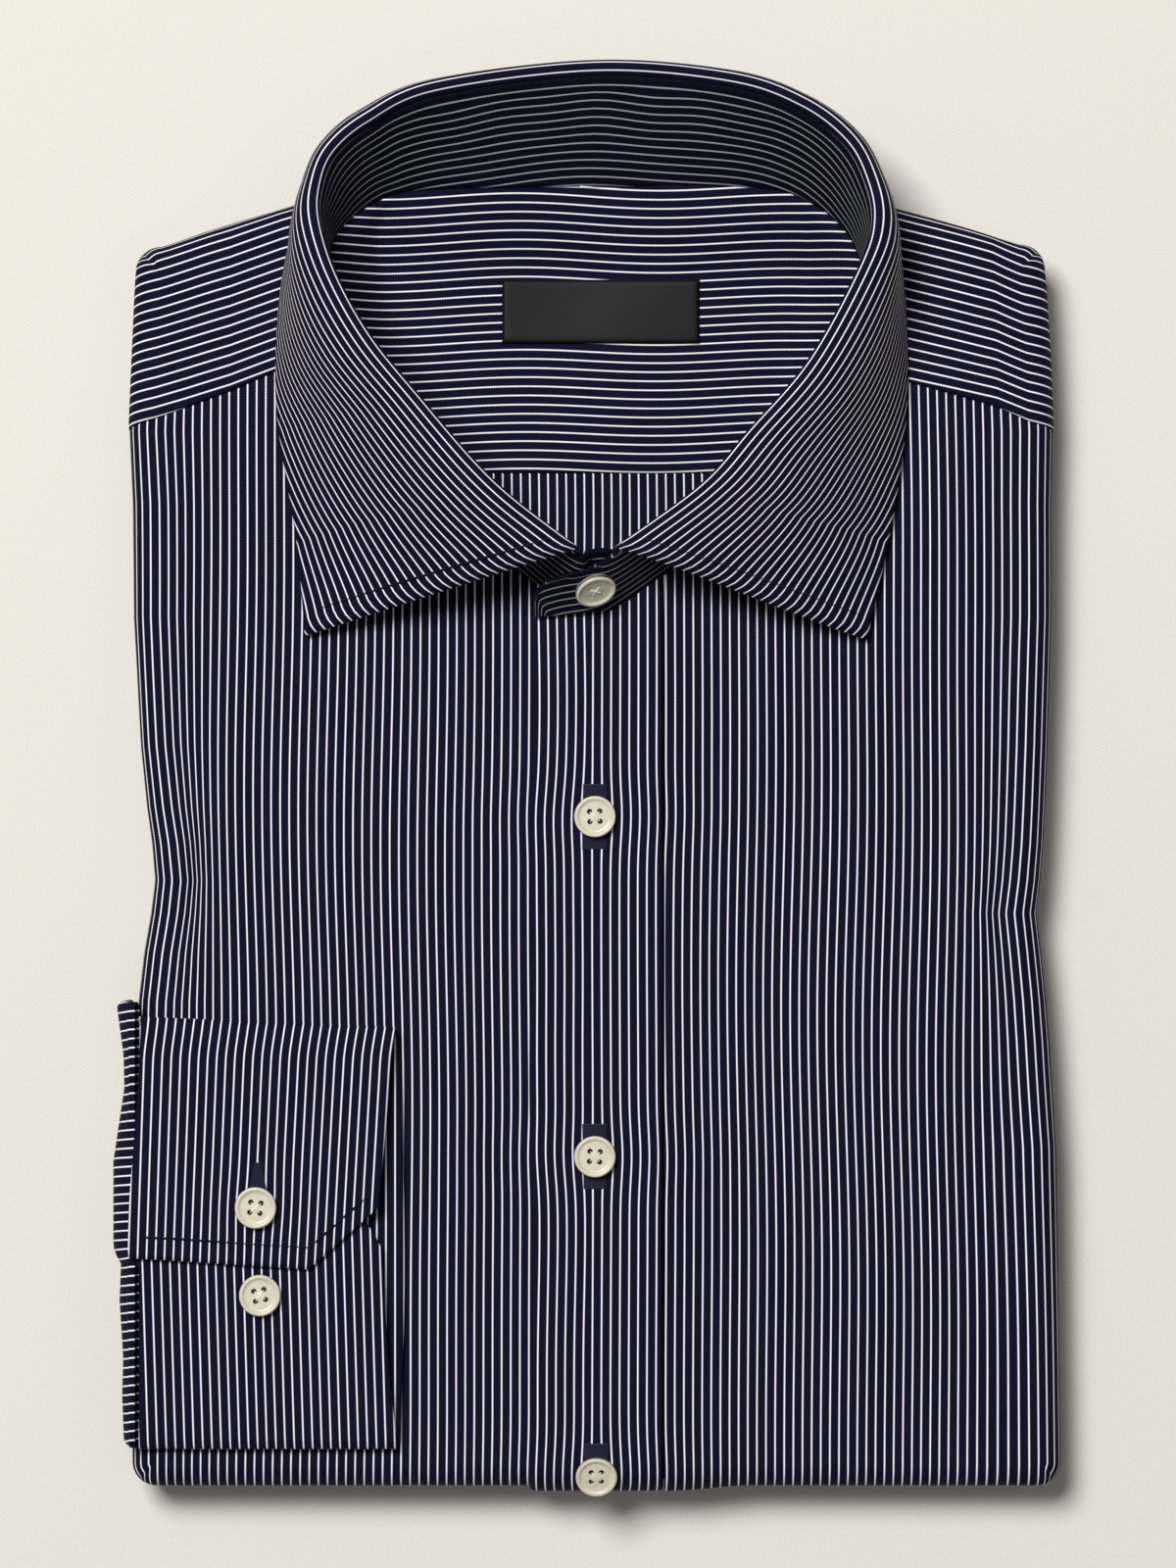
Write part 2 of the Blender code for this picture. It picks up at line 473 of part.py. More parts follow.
def button(name, x, y, z, tilt, turn):
    """A dished button with a raised rim and four holes, its centre at x, y, z."""
    half = BUTTON_THICK / 2
    profile = ((0, half - BUTTON_DISH), (3.3, half - BUTTON_DISH), (BUTTON_RADIUS - BUTTON_RIM, half),
               (BUTTON_RADIUS - 0.3, half - 0.1), (BUTTON_RADIUS, half - 0.6), (BUTTON_RADIUS - 0.5, -half + 0.7),
               (3.6, -half), (0, -half))
    edges = [(i, i + 1) for i in range(len(profile) - 1)]
    mesh = bpy.data.meshes.new(name)
    mesh.from_pydata([(r * MM, 0, h * MM) for r, h in profile], edges, [])
    made = bpy.data.objects.new(name, mesh)
    shirt.objects.link(made)
    made.data.materials.append(material(name, CREAM, 0.35))
    screw = made.modifiers.new("turned", "SCREW")
    screw.steps = BUTTON_SIDES
    screw.render_steps = BUTTON_SIDES
    screw.use_merge_vertices = True
    screw.merge_threshold = 0.00001
    pins, faces = [], []
    for side in range(4):
        start = len(pins)
        middle = math.radians(45 + 90 * side)
        ring = [math.radians(45 * k) for k in range(8)]
        for height in (-BUTTON_THICK, BUTTON_THICK):
            for angle in ring:
                pins.append((HOLE_OFFSET * math.cos(middle) + HOLE_RADIUS * math.cos(angle),
                             HOLE_OFFSET * math.sin(middle) + HOLE_RADIUS * math.sin(angle), height))
        faces += [[start + k, start + (k + 1) % 8, start + 8 + (k + 1) % 8, start + 8 + k] for k in range(8)]
        faces.append([start + k for k in range(7, -1, -1)])
        faces.append([start + 8 + k for k in range(8)])
    pin = add_object(name + "_holes", pins, faces, group=cutters)
    pin.hide_render = True
    pin.display_type = "WIRE"
    for placed in (made, pin):
        placed.location = (x * MM, y * MM, z * MM)
        placed.rotation_euler = (math.radians(tilt), 0, math.radians(turn))
    cut = made.modifiers.new("holes", "BOOLEAN")
    cut.operation = "DIFFERENCE"
    cut.solver = "EXACT"
    cut.object = pin


for old in list(bpy.data.objects):
    bpy.data.objects.remove(old, do_unlink=True)
shirt = bpy.data.collections.new("folded_dress_shirt")
cutters = bpy.data.collections.new("cutters")
for made_group in (shirt, cutters):
    bpy.context.scene.collection.children.link(made_group)
cutters.hide_render = True

hidden_layers()
body_pieces()
inner_pieces()
sections = collar_sections()
collar_leaf(sections)
collar_stand(sections)
cuff()
sleeve_end()
for button_name, place in BUTTONS.items():
    button(button_name, *place)
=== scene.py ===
# %% [markdown]
# # A folded dress shirt
# The shirt lies on its back, folded for sale. Its CAD frame gives the form: hidden layers, two
# fronts, a placket, yokes, collar, one sleeve end with its cuff, and six buttons. Here each cloth
# piece is made again as a thin sheet with the same rolls and folds, wearing the striped cotton.

import math

import bpy
import numpy as np
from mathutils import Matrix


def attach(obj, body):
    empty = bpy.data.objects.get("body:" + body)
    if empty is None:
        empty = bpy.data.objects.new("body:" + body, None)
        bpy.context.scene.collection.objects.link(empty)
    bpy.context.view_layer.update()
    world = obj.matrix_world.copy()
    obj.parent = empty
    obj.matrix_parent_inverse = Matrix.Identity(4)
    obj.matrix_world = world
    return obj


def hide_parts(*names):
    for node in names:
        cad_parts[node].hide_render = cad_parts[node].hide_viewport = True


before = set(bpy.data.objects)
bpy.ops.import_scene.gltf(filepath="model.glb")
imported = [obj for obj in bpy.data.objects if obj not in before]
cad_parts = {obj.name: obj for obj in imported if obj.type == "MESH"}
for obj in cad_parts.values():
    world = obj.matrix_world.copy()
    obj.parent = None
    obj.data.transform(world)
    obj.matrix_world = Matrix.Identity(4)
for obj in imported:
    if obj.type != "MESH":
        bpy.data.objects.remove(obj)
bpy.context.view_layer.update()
print("frame loaded:", len(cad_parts), "nodes")

# %% [markdown]
# ## Sizes
# Every length is in millimetres until a mesh is made, because cloth is thought of in millimetres:
# a stripe every 2.5, a line of stitches 6 from the edge, a button of 11.4.

# %% Sizes
MM = 0.001
PITCH = 2.49  # from one white stripe to the next
STRIPE = 0.40  # width of a white stripe
BEAD = 0.68  # length of one step along a stripe's edge
SHEET = 0.55  # thickness of the cloth, with its turned edges
FOLD_RADIUS = 5.0  # inner radius of the roll at the sides and the bottom
FOLD_TURN = math.radians(150)  # how far the cloth turns round that roll
LAYERS_TOP = 20.5  # height of the hidden layers
SKIN = 1.6  # from the hidden layers' top to a front's outer face
LEFT_FLAT, RIGHT_FLAT, BOTTOM_FLAT = -119.2, 120.7, -187.4  # where the flat cloth ends
PLACKET_LEFT, PLACKET_RIGHT = -15.8, 20.6
NECK_MIDDLE, NECK_HALF = 1.5, 75
print("stripes across a front:", round((PLACKET_LEFT - LEFT_FLAT) / PITCH))

# %% [markdown]
# ## Outlines
# The folded edge isn't straight: it draws in at the waist, where the sides are folded back. These
# short tables say where the folds and seams run. They could be measured from a real shirt with a
# ruler, which is why tables are used here rather than a formula.

# %% Outlines
SIDES = {
    "y": (-195, -173, -101, -72, -61, -48, -37, -28, -18, -8, 9, 44, 75, 95, 116, 135, 146, 158),
    "left": (0.8, 0.8, 1.5, 2.2, 2.5, 4.0, 5.9, 7.0, 6.2, 4.8, 3.1, 1.2, 0.9, 0.0, 0.9, 1.8, 2.6, 2.7),
    "right": (2.5, 2.2, 1.2, -0.7, -1.6, -3.0, -4.3, -3.2, -2.4, -1.9, -1.2, -0.2, -0.2, 0.2, -0.6,
              -1.8, -3.0, -3.2),
}
SHOULDER = {
    "x": (-130, -119, -79, -68, -52, 0, 54, 68, 81, 121, 132),
    "y": (136.5, 138.8, 150.7, 153.5, 156.0, 158.0, 156.3, 153.8, 150.4, 139.4, 136.6),
}
NECK = {
    "y": (36, 46, 56, 70, 84, 97, 115, 133, 147, 158, 170),
    "half": (6, 14, 24, 38, 50, 60, 71, 74, 73, 64, 56),
}
YOKE_SEAM = {
    "x": (-138, -119.2, -110, -98, -84, -77, -60, 60, 79, 87, 100, 112, 120.7, 138),
    "y": (93.0, 98.2, 101.4, 105.8, 111.9, 114.5, 118, 118, 111.0, 108.6, 105.0, 101.6, 97.6, 93.0),
}
NECK_FRONT = {
    "x": (-77, -73, -70.5, -59, -37, -7, 10, 40, 63, 72, 75, 77),
    "y": (122, 118, 114, 96, 70, 47.5, 47.0, 70, 96, 110, 117, 120),
}


def table(rows, column, at, by="x"):
    """A table's column read at the given places."""
    return np.interp(at, rows[by], rows[column])


def smooth(value):
    """0 below 0, 1 above 1, and an S-curve between."""
    value = np.clip(value, 0.0, 1.0)
    return value * value * (3 - 2 * value)


def joined(*parts):
    """A grid of points from the grids of their coordinates."""
    return np.stack(np.broadcast_arrays(*parts), axis=-1)


def bump(value, middle, width):
    """A rounded bump of height 1 about its middle."""
    return np.exp(-(((value - middle) / width) ** 2))


print("waist is drawn in by", max(SIDES["left"]), "mm on the left")

# %% [markdown]
# ## The body's surface
# A front lies flat and then rolls over the fold at the side and bottom. One function gives the place
# of any point of the flat cloth: on the flat it is itself, and past the flat's end the extra length
# turns round a circle. A cloth simulation could make the same roll, but this keeps true lengths, so
# the stripes keep their pitch round the fold.


# %% The body's surface
def body_share(x, y):
    """The body is lower behind the neck: its height as a share of the full one."""
    behind = smooth((76 - np.abs(x - NECK_MIDDLE)) / 18) * smooth((y - 140) / 14)
    return 1 - 0.42 * behind


def side_shift(x, y):
    """Sideways shift in the cloth near the folds: full at the fold, fading over 20 mm."""
    fade = 11
    left = table(SIDES, "left", y, "y") * bump(np.maximum(x, LEFT_FLAT), LEFT_FLAT, fade)
    right = table(SIDES, "right", y, "y") * bump(np.minimum(x, RIGHT_FLAT), RIGHT_FLAT, fade)
    return left + right


CREASES = (  # x, y, half length, half width, turn in degrees, height
    (-112, -30, 13, 5, 78, -1.5),
    (-101, -23, 24, 7, 84, 0.7),
    (114, -37, 11, 3.2, 100, -1.5),
    (107, -33, 22, 6, 97, 0.6),
    (100, -62, 38, 9, 93, -0.35),
    (-60, 20, 60, 12, 86, 0.35),
    (-40, 60, 30, 9, 62, 0.5),
    (45, 40, 46, 10, 96, 0.4),
    (74, 62, 34, 9, 82, -0.4),
    (70, -90, 70, 14, 91, 0.35),
    (-92, 72, 24, 7, 98, 0.45),
    (98, 78, 26, 7, 84, 0.4),
    (46, -160, 26, 8, 76, 0.3),
    (-34, -120, 44, 10, 92, 0.3),
)


def creases(x, y):
    """Soft ridges and troughs, each a stretched bump turned its own way."""
    height = np.zeros_like(x)
    for mid_x, mid_y, length, width, turn, size in CREASES:
        cosine, sine = math.cos(math.radians(turn)), math.sin(math.radians(turn))
        along = (x - mid_x) * cosine + (y - mid_y) * sine
        across = (y - mid_y) * cosine - (x - mid_x) * sine
        height += size * bump(along, 0, length) * bump(across, 0, width)
    return height


def lay(x, y, lift):
    """Places of flat cloth points x, y, laid over the body `lift` above the hidden layers."""
    flat_x = np.clip(x, LEFT_FLAT, RIGHT_FLAT)
    flat_y = np.clip(y, BOTTOM_FLAT, table(SHOULDER, "y", flat_x))
    past_x, past_y = x - flat_x, y - flat_y
    past = np.maximum(np.abs(past_x), np.abs(past_y))
    length = np.maximum(np.hypot(past_x, past_y), 1e-9)
    share = body_share(flat_x, flat_y)
    radius = FOLD_RADIUS + lift / share
    angle = np.minimum(past / radius, FOLD_TURN)
    out = radius * np.sin(angle)
    height = (LAYERS_TOP - FOLD_RADIUS + radius * np.cos(angle)) * share
    height = height + creases(flat_x, flat_y) * np.cos(np.minimum(angle, math.pi / 2))
    px = flat_x + side_shift(flat_x, flat_y) + out * past_x / length
    return joined(px, flat_y + out * past_y / length, height)


print("height of a front:", LAYERS_TOP + SKIN)

# %% [markdown]
# ## Putting a sheet in the scene
# A piece is a grid of points with a second grid that says where each point was on the flat cloth.
# That second grid becomes the UV map, in metres, and the stripes are drawn in it. Solidify then
# gives the sheet its small thickness. All the numbers go into the mesh as whole arrays, which is
# much faster than adding one face after another.


# %% A sheet from two grids
def show(made, finish):
    """Links an object to the scene, gives it its material and lets it ride on the root."""
    bpy.context.scene.collection.objects.link(made)
    made.data.materials.append(finish)
    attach(made, "root")
    return made


def put(name, points, cloth, finish, wall=SHEET, closed=False, ring=()):
    """A mesh from a grid of places and a grid of flat cloth points, both in millimetres. `ring` lists
    the points of one flat face that closes it."""
    rows, columns = points.shape[:2]
    at = np.arange(rows * columns).reshape(rows, columns)
    after = np.roll(at, -1, axis=1) if closed else at[:, 1:]
    start = at if closed else at[:, :-1]
    quads = joined(start[:-1], after[:-1], after[1:], start[1:]).reshape(-1, 4)
    places, flat = points.reshape(-1, 3) * MM, cloth.reshape(-1, 2) * MM
    ring = np.array(ring, int)
    faces = len(quads) + (len(ring) > 0)
    mesh = bpy.data.meshes.new(name)
    mesh.vertices.add(rows * columns)
    mesh.vertices.foreach_set("co", places.astype(np.float32).ravel())
    mesh.loops.add(quads.size + len(ring))
    mesh.loops.foreach_set("vertex_index", np.concatenate([quads.ravel(), ring]).astype(np.int32))
    mesh.polygons.add(faces)
    mesh.polygons.foreach_set("loop_start", 4 * np.arange(faces, dtype=np.int32))
    mesh.update(calc_edges=True)
    corners = np.concatenate([flat[quads.ravel()], places[ring, :2]]).astype(np.float32)
    mesh.uv_layers.new(name="cloth").uv.foreach_set("vector", corners.ravel())
    mesh.polygons.foreach_set("use_smooth", np.arange(faces) < len(quads))
    made = bpy.data.objects.new(name, mesh)
    if wall:
        solid = made.modifiers.new("wall", "SOLIDIFY")
        solid.thickness = wall * MM
        solid.offset = -1
    return show(made, finish)


def between_stripes(across):
    """The nearest place in the middle between two stripes: a whole number of pitches."""
    return np.round(across / PITCH) * PITCH


def flat_area(cloth):
    """Area of a grid of flat cloth points, in square metres, from its cells' cross products."""
    one = cloth[1:, 1:] - cloth[:-1, :-1]
    two = cloth[1:, :-1] - cloth[:-1, 1:]
    return float(np.abs(one[..., 0] * two[..., 1] - one[..., 1] * two[..., 0]).sum() / 2) * MM * MM


def declare(made, nodes, width, length, area):
    """Hides the solids that the sheet stands for and prints the size that it is cut to, in millimetres."""
    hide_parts(*nodes)
    print(made.name, "is cut", width, "x", length, "mm")


# %% [markdown]
# ## The striped cotton
# The shirting is a fine navy twill with a white stripe. It could be a picture, but drawing it from
# the cloth's own coordinates keeps it sharp at any distance and straight along the grain. A small
# class that wraps a socket lets the pattern be written as ordinary sums.


# %% Shader sums
def fill(tree, slots, values):
    """Fills sockets in turn: a Value is linked, and anything else becomes the socket's own value."""
    for slot, value in zip(slots, values):
        if isinstance(value, Value):
            tree.links.new(value.socket, slot)
        else:
            slot.default_value = value


class Value:
    """A number in a node tree that can be added, multiplied and so on."""

    def __init__(self, tree, socket):
        self.tree, self.socket = tree, socket

    def of(self, kind, *others):
        node = self.tree.nodes.new("ShaderNodeMath")
        node.operation = kind
        fill(self.tree, node.inputs, (self, *others))
        return Value(self.tree, node.outputs[0])

    def __add__(self, other):
        return self.of("ADD", other)

    def __sub__(self, other):
        return self.of("SUBTRACT", other)

    def __mul__(self, other):
        return self.of("MULTIPLY", other)

    def __truediv__(self, other):
        return self.of("DIVIDE", other)

    def fract(self):
        return self.of("FRACT")

    def sine(self):
        return self.of("SINE")

    def size(self):
        return self.of("ABSOLUTE")

    def clamped(self):
        return self.of("MAXIMUM", 0.0).of("MINIMUM", 1.0)


def give(node, **values):
    """Fills a node's sockets by name."""
    fill(node.id_data, [node.inputs[name.replace("_", " ")] for name in values], values.values())
    return node


def node_of(tree, kind, settings=(), **values):
    """Any other node: its type, its settings, and socket values or links by name."""
    node = tree.nodes.new(kind)
    for name, value in dict(settings).items():
        setattr(node, name, value)
    return give(node, **values)


def blend(tree, share, low, high):
    """A colour between low and high."""
    node = node_of(tree, "ShaderNodeMix", {"data_type": "RGBA"})
    fill(tree, [node.inputs[k] for k in (0, 6, 7)], (share, low, high))
    return Value(tree, node.outputs[2])


def new_material(name):
    """A material, its node tree and its Principled shader."""
    made = bpy.data.materials.new(name)
    made.use_nodes = True
    return made, made.node_tree, made.node_tree.nodes["Principled BSDF"]


def parts_of(tree, vector):
    """The X, Y and Z of a vector socket, ready for sums."""
    split = node_of(tree, "ShaderNodeSeparateXYZ", Vector=Value(tree, vector))
    return [Value(tree, socket) for socket in split.outputs]


def noise(tree, place, scale, detail, settings=()):
    """Blender's noise at a place, from 0 to 1."""
    place = Value(tree, place)
    node = node_of(tree, "ShaderNodeTexNoise", settings, Scale=scale, Detail=detail, Vector=place)
    return Value(tree, node.outputs[0])


def raise_by(shader, strength, depth, height):
    """Bumps a shader by a pattern of heights, `depth` millimetres at most."""
    tree = shader.id_data
    relief = node_of(tree, "ShaderNodeBump", Strength=strength, Distance=depth * MM, Height=height)
    give(shader, Normal=Value(tree, relief.outputs[0]))


# %% The cotton
NAVY = (0.0007, 0.0005, 0.0055, 1)
NAVY_LIGHT = (0.0092, 0.0076, 0.035, 1)
WHITE = (0.98, 0.94, 1.0, 1)
SHADE_TONES = ((0.0004, 0.0003, 0.0025, 1), (0.0055, 0.0048, 0.018, 1))  # the same cloth, in deep shade
SHADE_WHITE = (0.36, 0.36, 0.42, 1)
BEAD_SWAY, BEAD_SWELL, EDGE_BLUR = 0.035, 0.05, 0.09  # of a stripe's edge, at each step along it
TWILL, YARN = 0.62, 0.53  # repeats of the slanting ridges and of the single threads


def cotton(name, stripes_on="X", ground_tones=(NAVY, NAVY_LIGHT), line=WHITE):
    """Navy twill with a white stripe every PITCH along the cloth's X or Y."""
    made, tree, shader = new_material(name)
    flat = node_of(tree, "ShaderNodeUVMap", {"uv_map": "cloth"})
    first, second, _ = parts_of(tree, flat.outputs[0])
    across, along = (first, second) if stripes_on == "X" else (second, first)
    across, along = across * (1 / MM), along * (1 / MM)
    step = ((along / BEAD).fract() - 0.5).size() * 4 - 1  # a zigzag between -1 and 1
    place = ((across + step * BEAD_SWAY) / PITCH).fract() - 0.5
    edge = step * BEAD_SWELL + STRIPE / 2
    white = ((edge - place.size() * PITCH) / EDGE_BLUR + 0.5).clamped()
    twill = ((across * 0.9 + along * 1.1) * (2 * math.pi / TWILL)).sine()
    yarn = ((across * 1.1 - along * 0.4) * (2 * math.pi / YARN)).sine()
    weave = (twill * 0.32 + yarn * 0.16 + 0.5).clamped()
    speckle = noise(tree, flat.outputs[0], 900.0, 2.0, {"noise_dimensions": "2D"})
    grain = (speckle * 0.55 + weave * 0.62 - 0.08).clamped()
    ground = blend(tree, grain, *ground_tones)
    colour = blend(tree, white, ground, line)
    raise_by(shader, 0.35, 0.08, weave + white * 0.8)
    give(shader, Base_Color=colour, Roughness=0.78, Specular_IOR_Level=0.08, Sheen_Weight=0.008,
         Sheen_Roughness=0.5, Sheen_Tint=(0.75, 0.78, 1, 1))
    return made


def plain(name, colour, rough, sheen=0.0):
    """One colour with a fine speckle, for thread, label and floor."""
    made, tree, shader = new_material(name)
    place = node_of(tree, "ShaderNodeTexCoord").outputs["Object"]
    lighter = tuple(min(1.0, part * 1.35) for part in colour[:3]) + (1,)
    shade = blend(tree, noise(tree, place, 2200.0, 2.0), colour, lighter)
    give(shader, Base_Color=shade, Roughness=rough, Specular_IOR_Level=0.2, Sheen_Weight=sheen)
    return made


shirting = cotton("shirt_cotton_lengthwise", "X")
crosswise = cotton("shirt_cotton_crosswise", "Y")
shaded = cotton("shirt_cotton_shaded", "Y", SHADE_TONES, SHADE_WHITE)
print("materials:", shirting.name, crosswise.name, shaded.name)

# %% [markdown]
# ## Stripes drawn aside by buttons
# A fastened button pulls the cloth and the stripes bow round it. Moving the stripe pattern on the
# cloth is enough to show it, since the cloth itself hardly rises.

# %% Button places
FRONT_BUTTONS = ((1.9, -10.5), (1.9, -103.4), (2.3, -190.8))


def bow(x, y, spots, size=0.72, reach_x=24.0, reach_y=9.0):
    """Sideways move of the stripes round each spot, away from it, fading with distance."""
    moved = np.zeros_like(x)
    for mid_x, mid_y in spots:
        side = x - mid_x
        moved += size * np.tanh(side / 4) * bump(side, 0, reach_x) * bump(y, mid_y, reach_y)
    return moved


def sway(x, y):
    """The slow wander of a stripe that was never pressed quite straight."""
    wide = 0.55 * np.sin((y - 12) / 31 + x / 70) + 0.3 * np.sin(y / 17 + x / 45 + 1)
    return wide * bump(x, np.where(x < 0, -75, 75), 55)


print("buttons on the front:", len(FRONT_BUTTONS))

# %% [markdown]
# ## Fronts, placket and outer yoke
# Each front is one sheet from its edge at the placket to the tucked end of its side fold. The grid
# follows the cloth, so its rows end on the yoke seam and on the neck.


# %% Body sheets
def ruled(xs, low, high, rows):
    """A grid of flat cloth points between a lower and an upper line."""
    x, share = np.meshgrid(xs, np.linspace(0, 1, rows))
    return x, low(x) + (high(x) - low(x)) * share


def seam_y(x):
    """Where the yoke seam runs."""
    return table(YOKE_SEAM, "y", x)


def front_top(x):
    """A front's upper line: the yoke seam or, nearer the middle, the neck."""
    return np.minimum(seam_y(x), table(NECK_FRONT, "y", np.clip(x, -77, 77))) - 0.15


WRAP = (FOLD_RADIUS + SKIN) * FOLD_TURN  # cloth that goes round a fold
FRONT_STEP, FRONT_ROWS = 1.25, 250
PLACKET_RISE = 1.5  # the placket lies this much above the right front
bottom_y = BOTTOM_FLAT - WRAP


def low_edge(x):
    return np.full_like(x, bottom_y)


def make_front(name, node, start, end, lift):
    """One front: a ruled grid laid over the body, its stripes moved by the sway and the buttons."""
    columns = int(abs(end - start) / FRONT_STEP)
    x, y = ruled(np.linspace(start, end, columns), low_edge, front_top, FRONT_ROWS)
    points = lay(x, y, lift(x, y))
    drawn = x - sway(x, y) - bow(x, y, FRONT_BUTTONS)
    cloth = joined(drawn, y)
    made = put(name, points, cloth, shirting)
    area = flat_area(joined(x, y))
    declare(made, [node], round(abs(end - start)), round(float(np.ptp(y))), area)


def right_lift(x, y):
    return np.full_like(x, SKIN)


def left_lift(x, y):
    """The left front climbs to the placket over its last 24 mm."""
    return SKIN + PLACKET_RISE * smooth((46 - x) / 24)


make_front("shirt_front_right", "front_right", LEFT_FLAT - WRAP, 18.5, right_lift)
make_front("shirt_front_left", "front_left", PLACKET_RIGHT + 0.35, RIGHT_FLAT + WRAP, left_lift)

# %% Placket
PLACKET_LIFT = SKIN + PLACKET_RISE


def placket_place(x, y, above=0.0):
    """The placket's top face: its edges turn down 0.9 mm within about half a millimetre, and it dips
    0.35 mm in a bump round each button."""
    edge = np.minimum(x - PLACKET_LEFT, PLACKET_RIGHT - x)
    lift = PLACKET_LIFT + above - 0.9 * np.exp(-np.maximum(edge, 0) / 0.5)
    for mid_x, mid_y in FRONT_BUTTONS:
        lift = lift - 0.35 * bump(x, mid_x, 6) * bump(y, mid_y, 7)
    wander = 0.25 * np.sin(y / 26 + 0.6) + 0.15 * np.sin(y / 11)
    points = lay(x, y, lift)
    points[..., 0] += wander * (x < 0)
    return points


x, y = ruled(np.linspace(PLACKET_LEFT, PLACKET_RIGHT, 74), lambda x: low_edge(x) - 3,
             lambda x: table(NECK_FRONT, "y", x) + 0.6, 260)
drawn = x - 0.12 * np.sin(y / 23) - bow(x, y, FRONT_BUTTONS)
drawn[:, [0, -1]] = between_stripes(drawn[:, [0, -1]])  # so that no side wall is white
placket = put("shirt_placket", placket_place(x, y), joined(drawn, y), shirting)
declare(placket, ["placket"], 36, 262, flat_area(joined(x, y)))

# %% Outer yoke
def shoulder_y(x):
    return table(SHOULDER, "y", np.clip(x, LEFT_FLAT, RIGHT_FLAT))


def yoke_low(x):
    """The yoke starts at its seam and, behind the neck, at the shoulder line."""
    return np.where(np.abs(x - NECK_MIDDLE) > NECK_HALF, seam_y(x) + 0.1, shoulder_y(x) - 0.5)


def yoke_high(x):
    return shoulder_y(x) + WRAP


x, y = ruled(np.linspace(LEFT_FLAT - WRAP, RIGHT_FLAT + WRAP, 236), yoke_low, yoke_high, 64)
near_seam = np.exp(-np.maximum(y - seam_y(x), 0) / 1.2)
points = lay(x, y, SKIN + 0.35 - 0.25 * near_seam)
slant = (y - seam_y(x)) * 0.93 - 0.055 * np.maximum(np.abs(x - NECK_MIDDLE) - NECK_HALF, 0)
slant = slant + 0.35 * np.sin(x / 15) * smooth((y - seam_y(x)) / 20)
yoke_outer = put("shirt_yoke_outer", points, joined(x, slant + 0.9), crosswise)
declare(yoke_outer, ["yoke_outer"], 274, 72, flat_area(joined(x, y)))

# %% [markdown]
# ## Hidden layers
# Under the fronts lie the folded sides, the other sleeve, the back and the tails. Only their folded
# edges show, so they are one closed form with rounded layers at the edges. Modelling every layer
# would hide a lot of work.

# %% Hidden layers
LOWER_FOLDS = (  # out and height, down the edge below the top fold
    (0.6, 9.4), (0.9, 8.9), (4.0, 8.6), (5.1, 7.6), (5.2, 6.4), (4.2, 5.3), (2.0, 4.9), (2.2, 4.6),
    (4.4, 4.3), (5.0, 3.5), (4.6, 2.6), (2.4, 2.3), (2.6, 2.1), (4.6, 1.9), (5.0, 1.1), (4.6, 0.3),
    (3.6, 0.0),
)
HOLLOW = 10.0  # height of the layers inside the neck


def layer_profile():
    """Out and height of the layers' edge: round the top fold, then down the lower folds."""
    turn = np.linspace(0, FOLD_TURN, 9)
    top_fold = joined(FOLD_RADIUS * np.sin(turn), LAYERS_TOP - FOLD_RADIUS + FOLD_RADIUS * np.cos(turn))
    return np.concatenate([top_fold, LOWER_FOLDS]).T


def hollow_share(x, y):
    """The height as a share of the full one, with the hollow inside the neck."""
    across = np.abs(x - NECK_MIDDLE) < table(NECK, "half", y, "y") + 14
    inside = across & (y > 42) & (y < table(SHOULDER, "y", x) - 1)
    return np.where(inside, HOLLOW / LAYERS_TOP, body_share(x, y))


def with_rounds(flat, past):
    """Grid lines over the flat part, with the fold's lines before and after them: the place of each,
    and how many steps down the edge it is."""
    place = np.concatenate([np.full(rounds, flat[0]), flat, np.full(rounds, past)])
    return place, np.concatenate([-steps[::-1], np.zeros(len(flat), int), steps])


out_row, height_row = layer_profile()
rounds = len(out_row) - 1
steps = np.arange(1, rounds + 1)
xs, step_x = with_rounds(np.linspace(LEFT_FLAT, RIGHT_FLAT, 90), RIGHT_FLAT)
ys, step_y = with_rounds(np.linspace(BOTTOM_FLAT, 159, 120), 999.0)
x, y = np.meshgrid(xs, ys)
y = np.minimum(y, table(SHOULDER, "y", x))  # so the last lines follow the shoulder
sx, sy = np.meshgrid(step_x, step_y)
row = np.maximum(np.abs(sx), np.abs(sy))
length = np.maximum(np.hypot(sx, sy), 1)
share = hollow_share(x, y)
low = smooth((10.5 - height_row[row]) / 3)
ripple = low * (0.45 * np.sin(x / 19 + y / 27 + row) + 0.35 * np.sin(x / 8 - y / 11 + row * 1.7))
ripple = ripple * (row < rounds)
out = out_row[row] + ripple * (row > 0)
lower = np.where(height_row[row] > 0.05, ripple * 0.15 * (row > 9), 0)
points = joined(x + side_shift(x, y) + out * sx / length, y + out * sy / length,
                height_row[row] * share + lower)
run = np.concatenate([[0], np.cumsum(np.hypot(np.diff(out_row), np.diff(height_row)))])[row]
cloth = joined(x + run * sx / length, y + run * sy / length)
at = np.arange(x.size).reshape(x.shape)
rim = np.concatenate([at[0, :-1], at[:-1, -1], at[-1, :0:-1], at[:0:-1, 0]])[::-1]
layers = put("shirt_hidden_layers", points, cloth, shirting, wall=0, ring=rim)
print("hidden layers:", x.size, "points, rim of", len(rim))
LAYERS_WIDTH, LAYERS_LENGTH = 255, 365
layers_area = 0.97 * LAYERS_WIDTH * LAYERS_LENGTH * MM * MM
declare(layers, ["folded_layers"], LAYERS_WIDTH, LAYERS_LENGTH, layers_area)

# %% [markdown]
# ## Collar
# The collar is a band standing on the neck seam and a leaf that turns over it. Each cross-section is
# a small roll followed by a smooth curve out to the free edge, and twenty-one of them, from one point
# round the back to the other, are joined by a curve through them all. Sculpting would be quicker, but
# this keeps the leaf's width true, and the stripes run along the roll as they do on a cut collar.

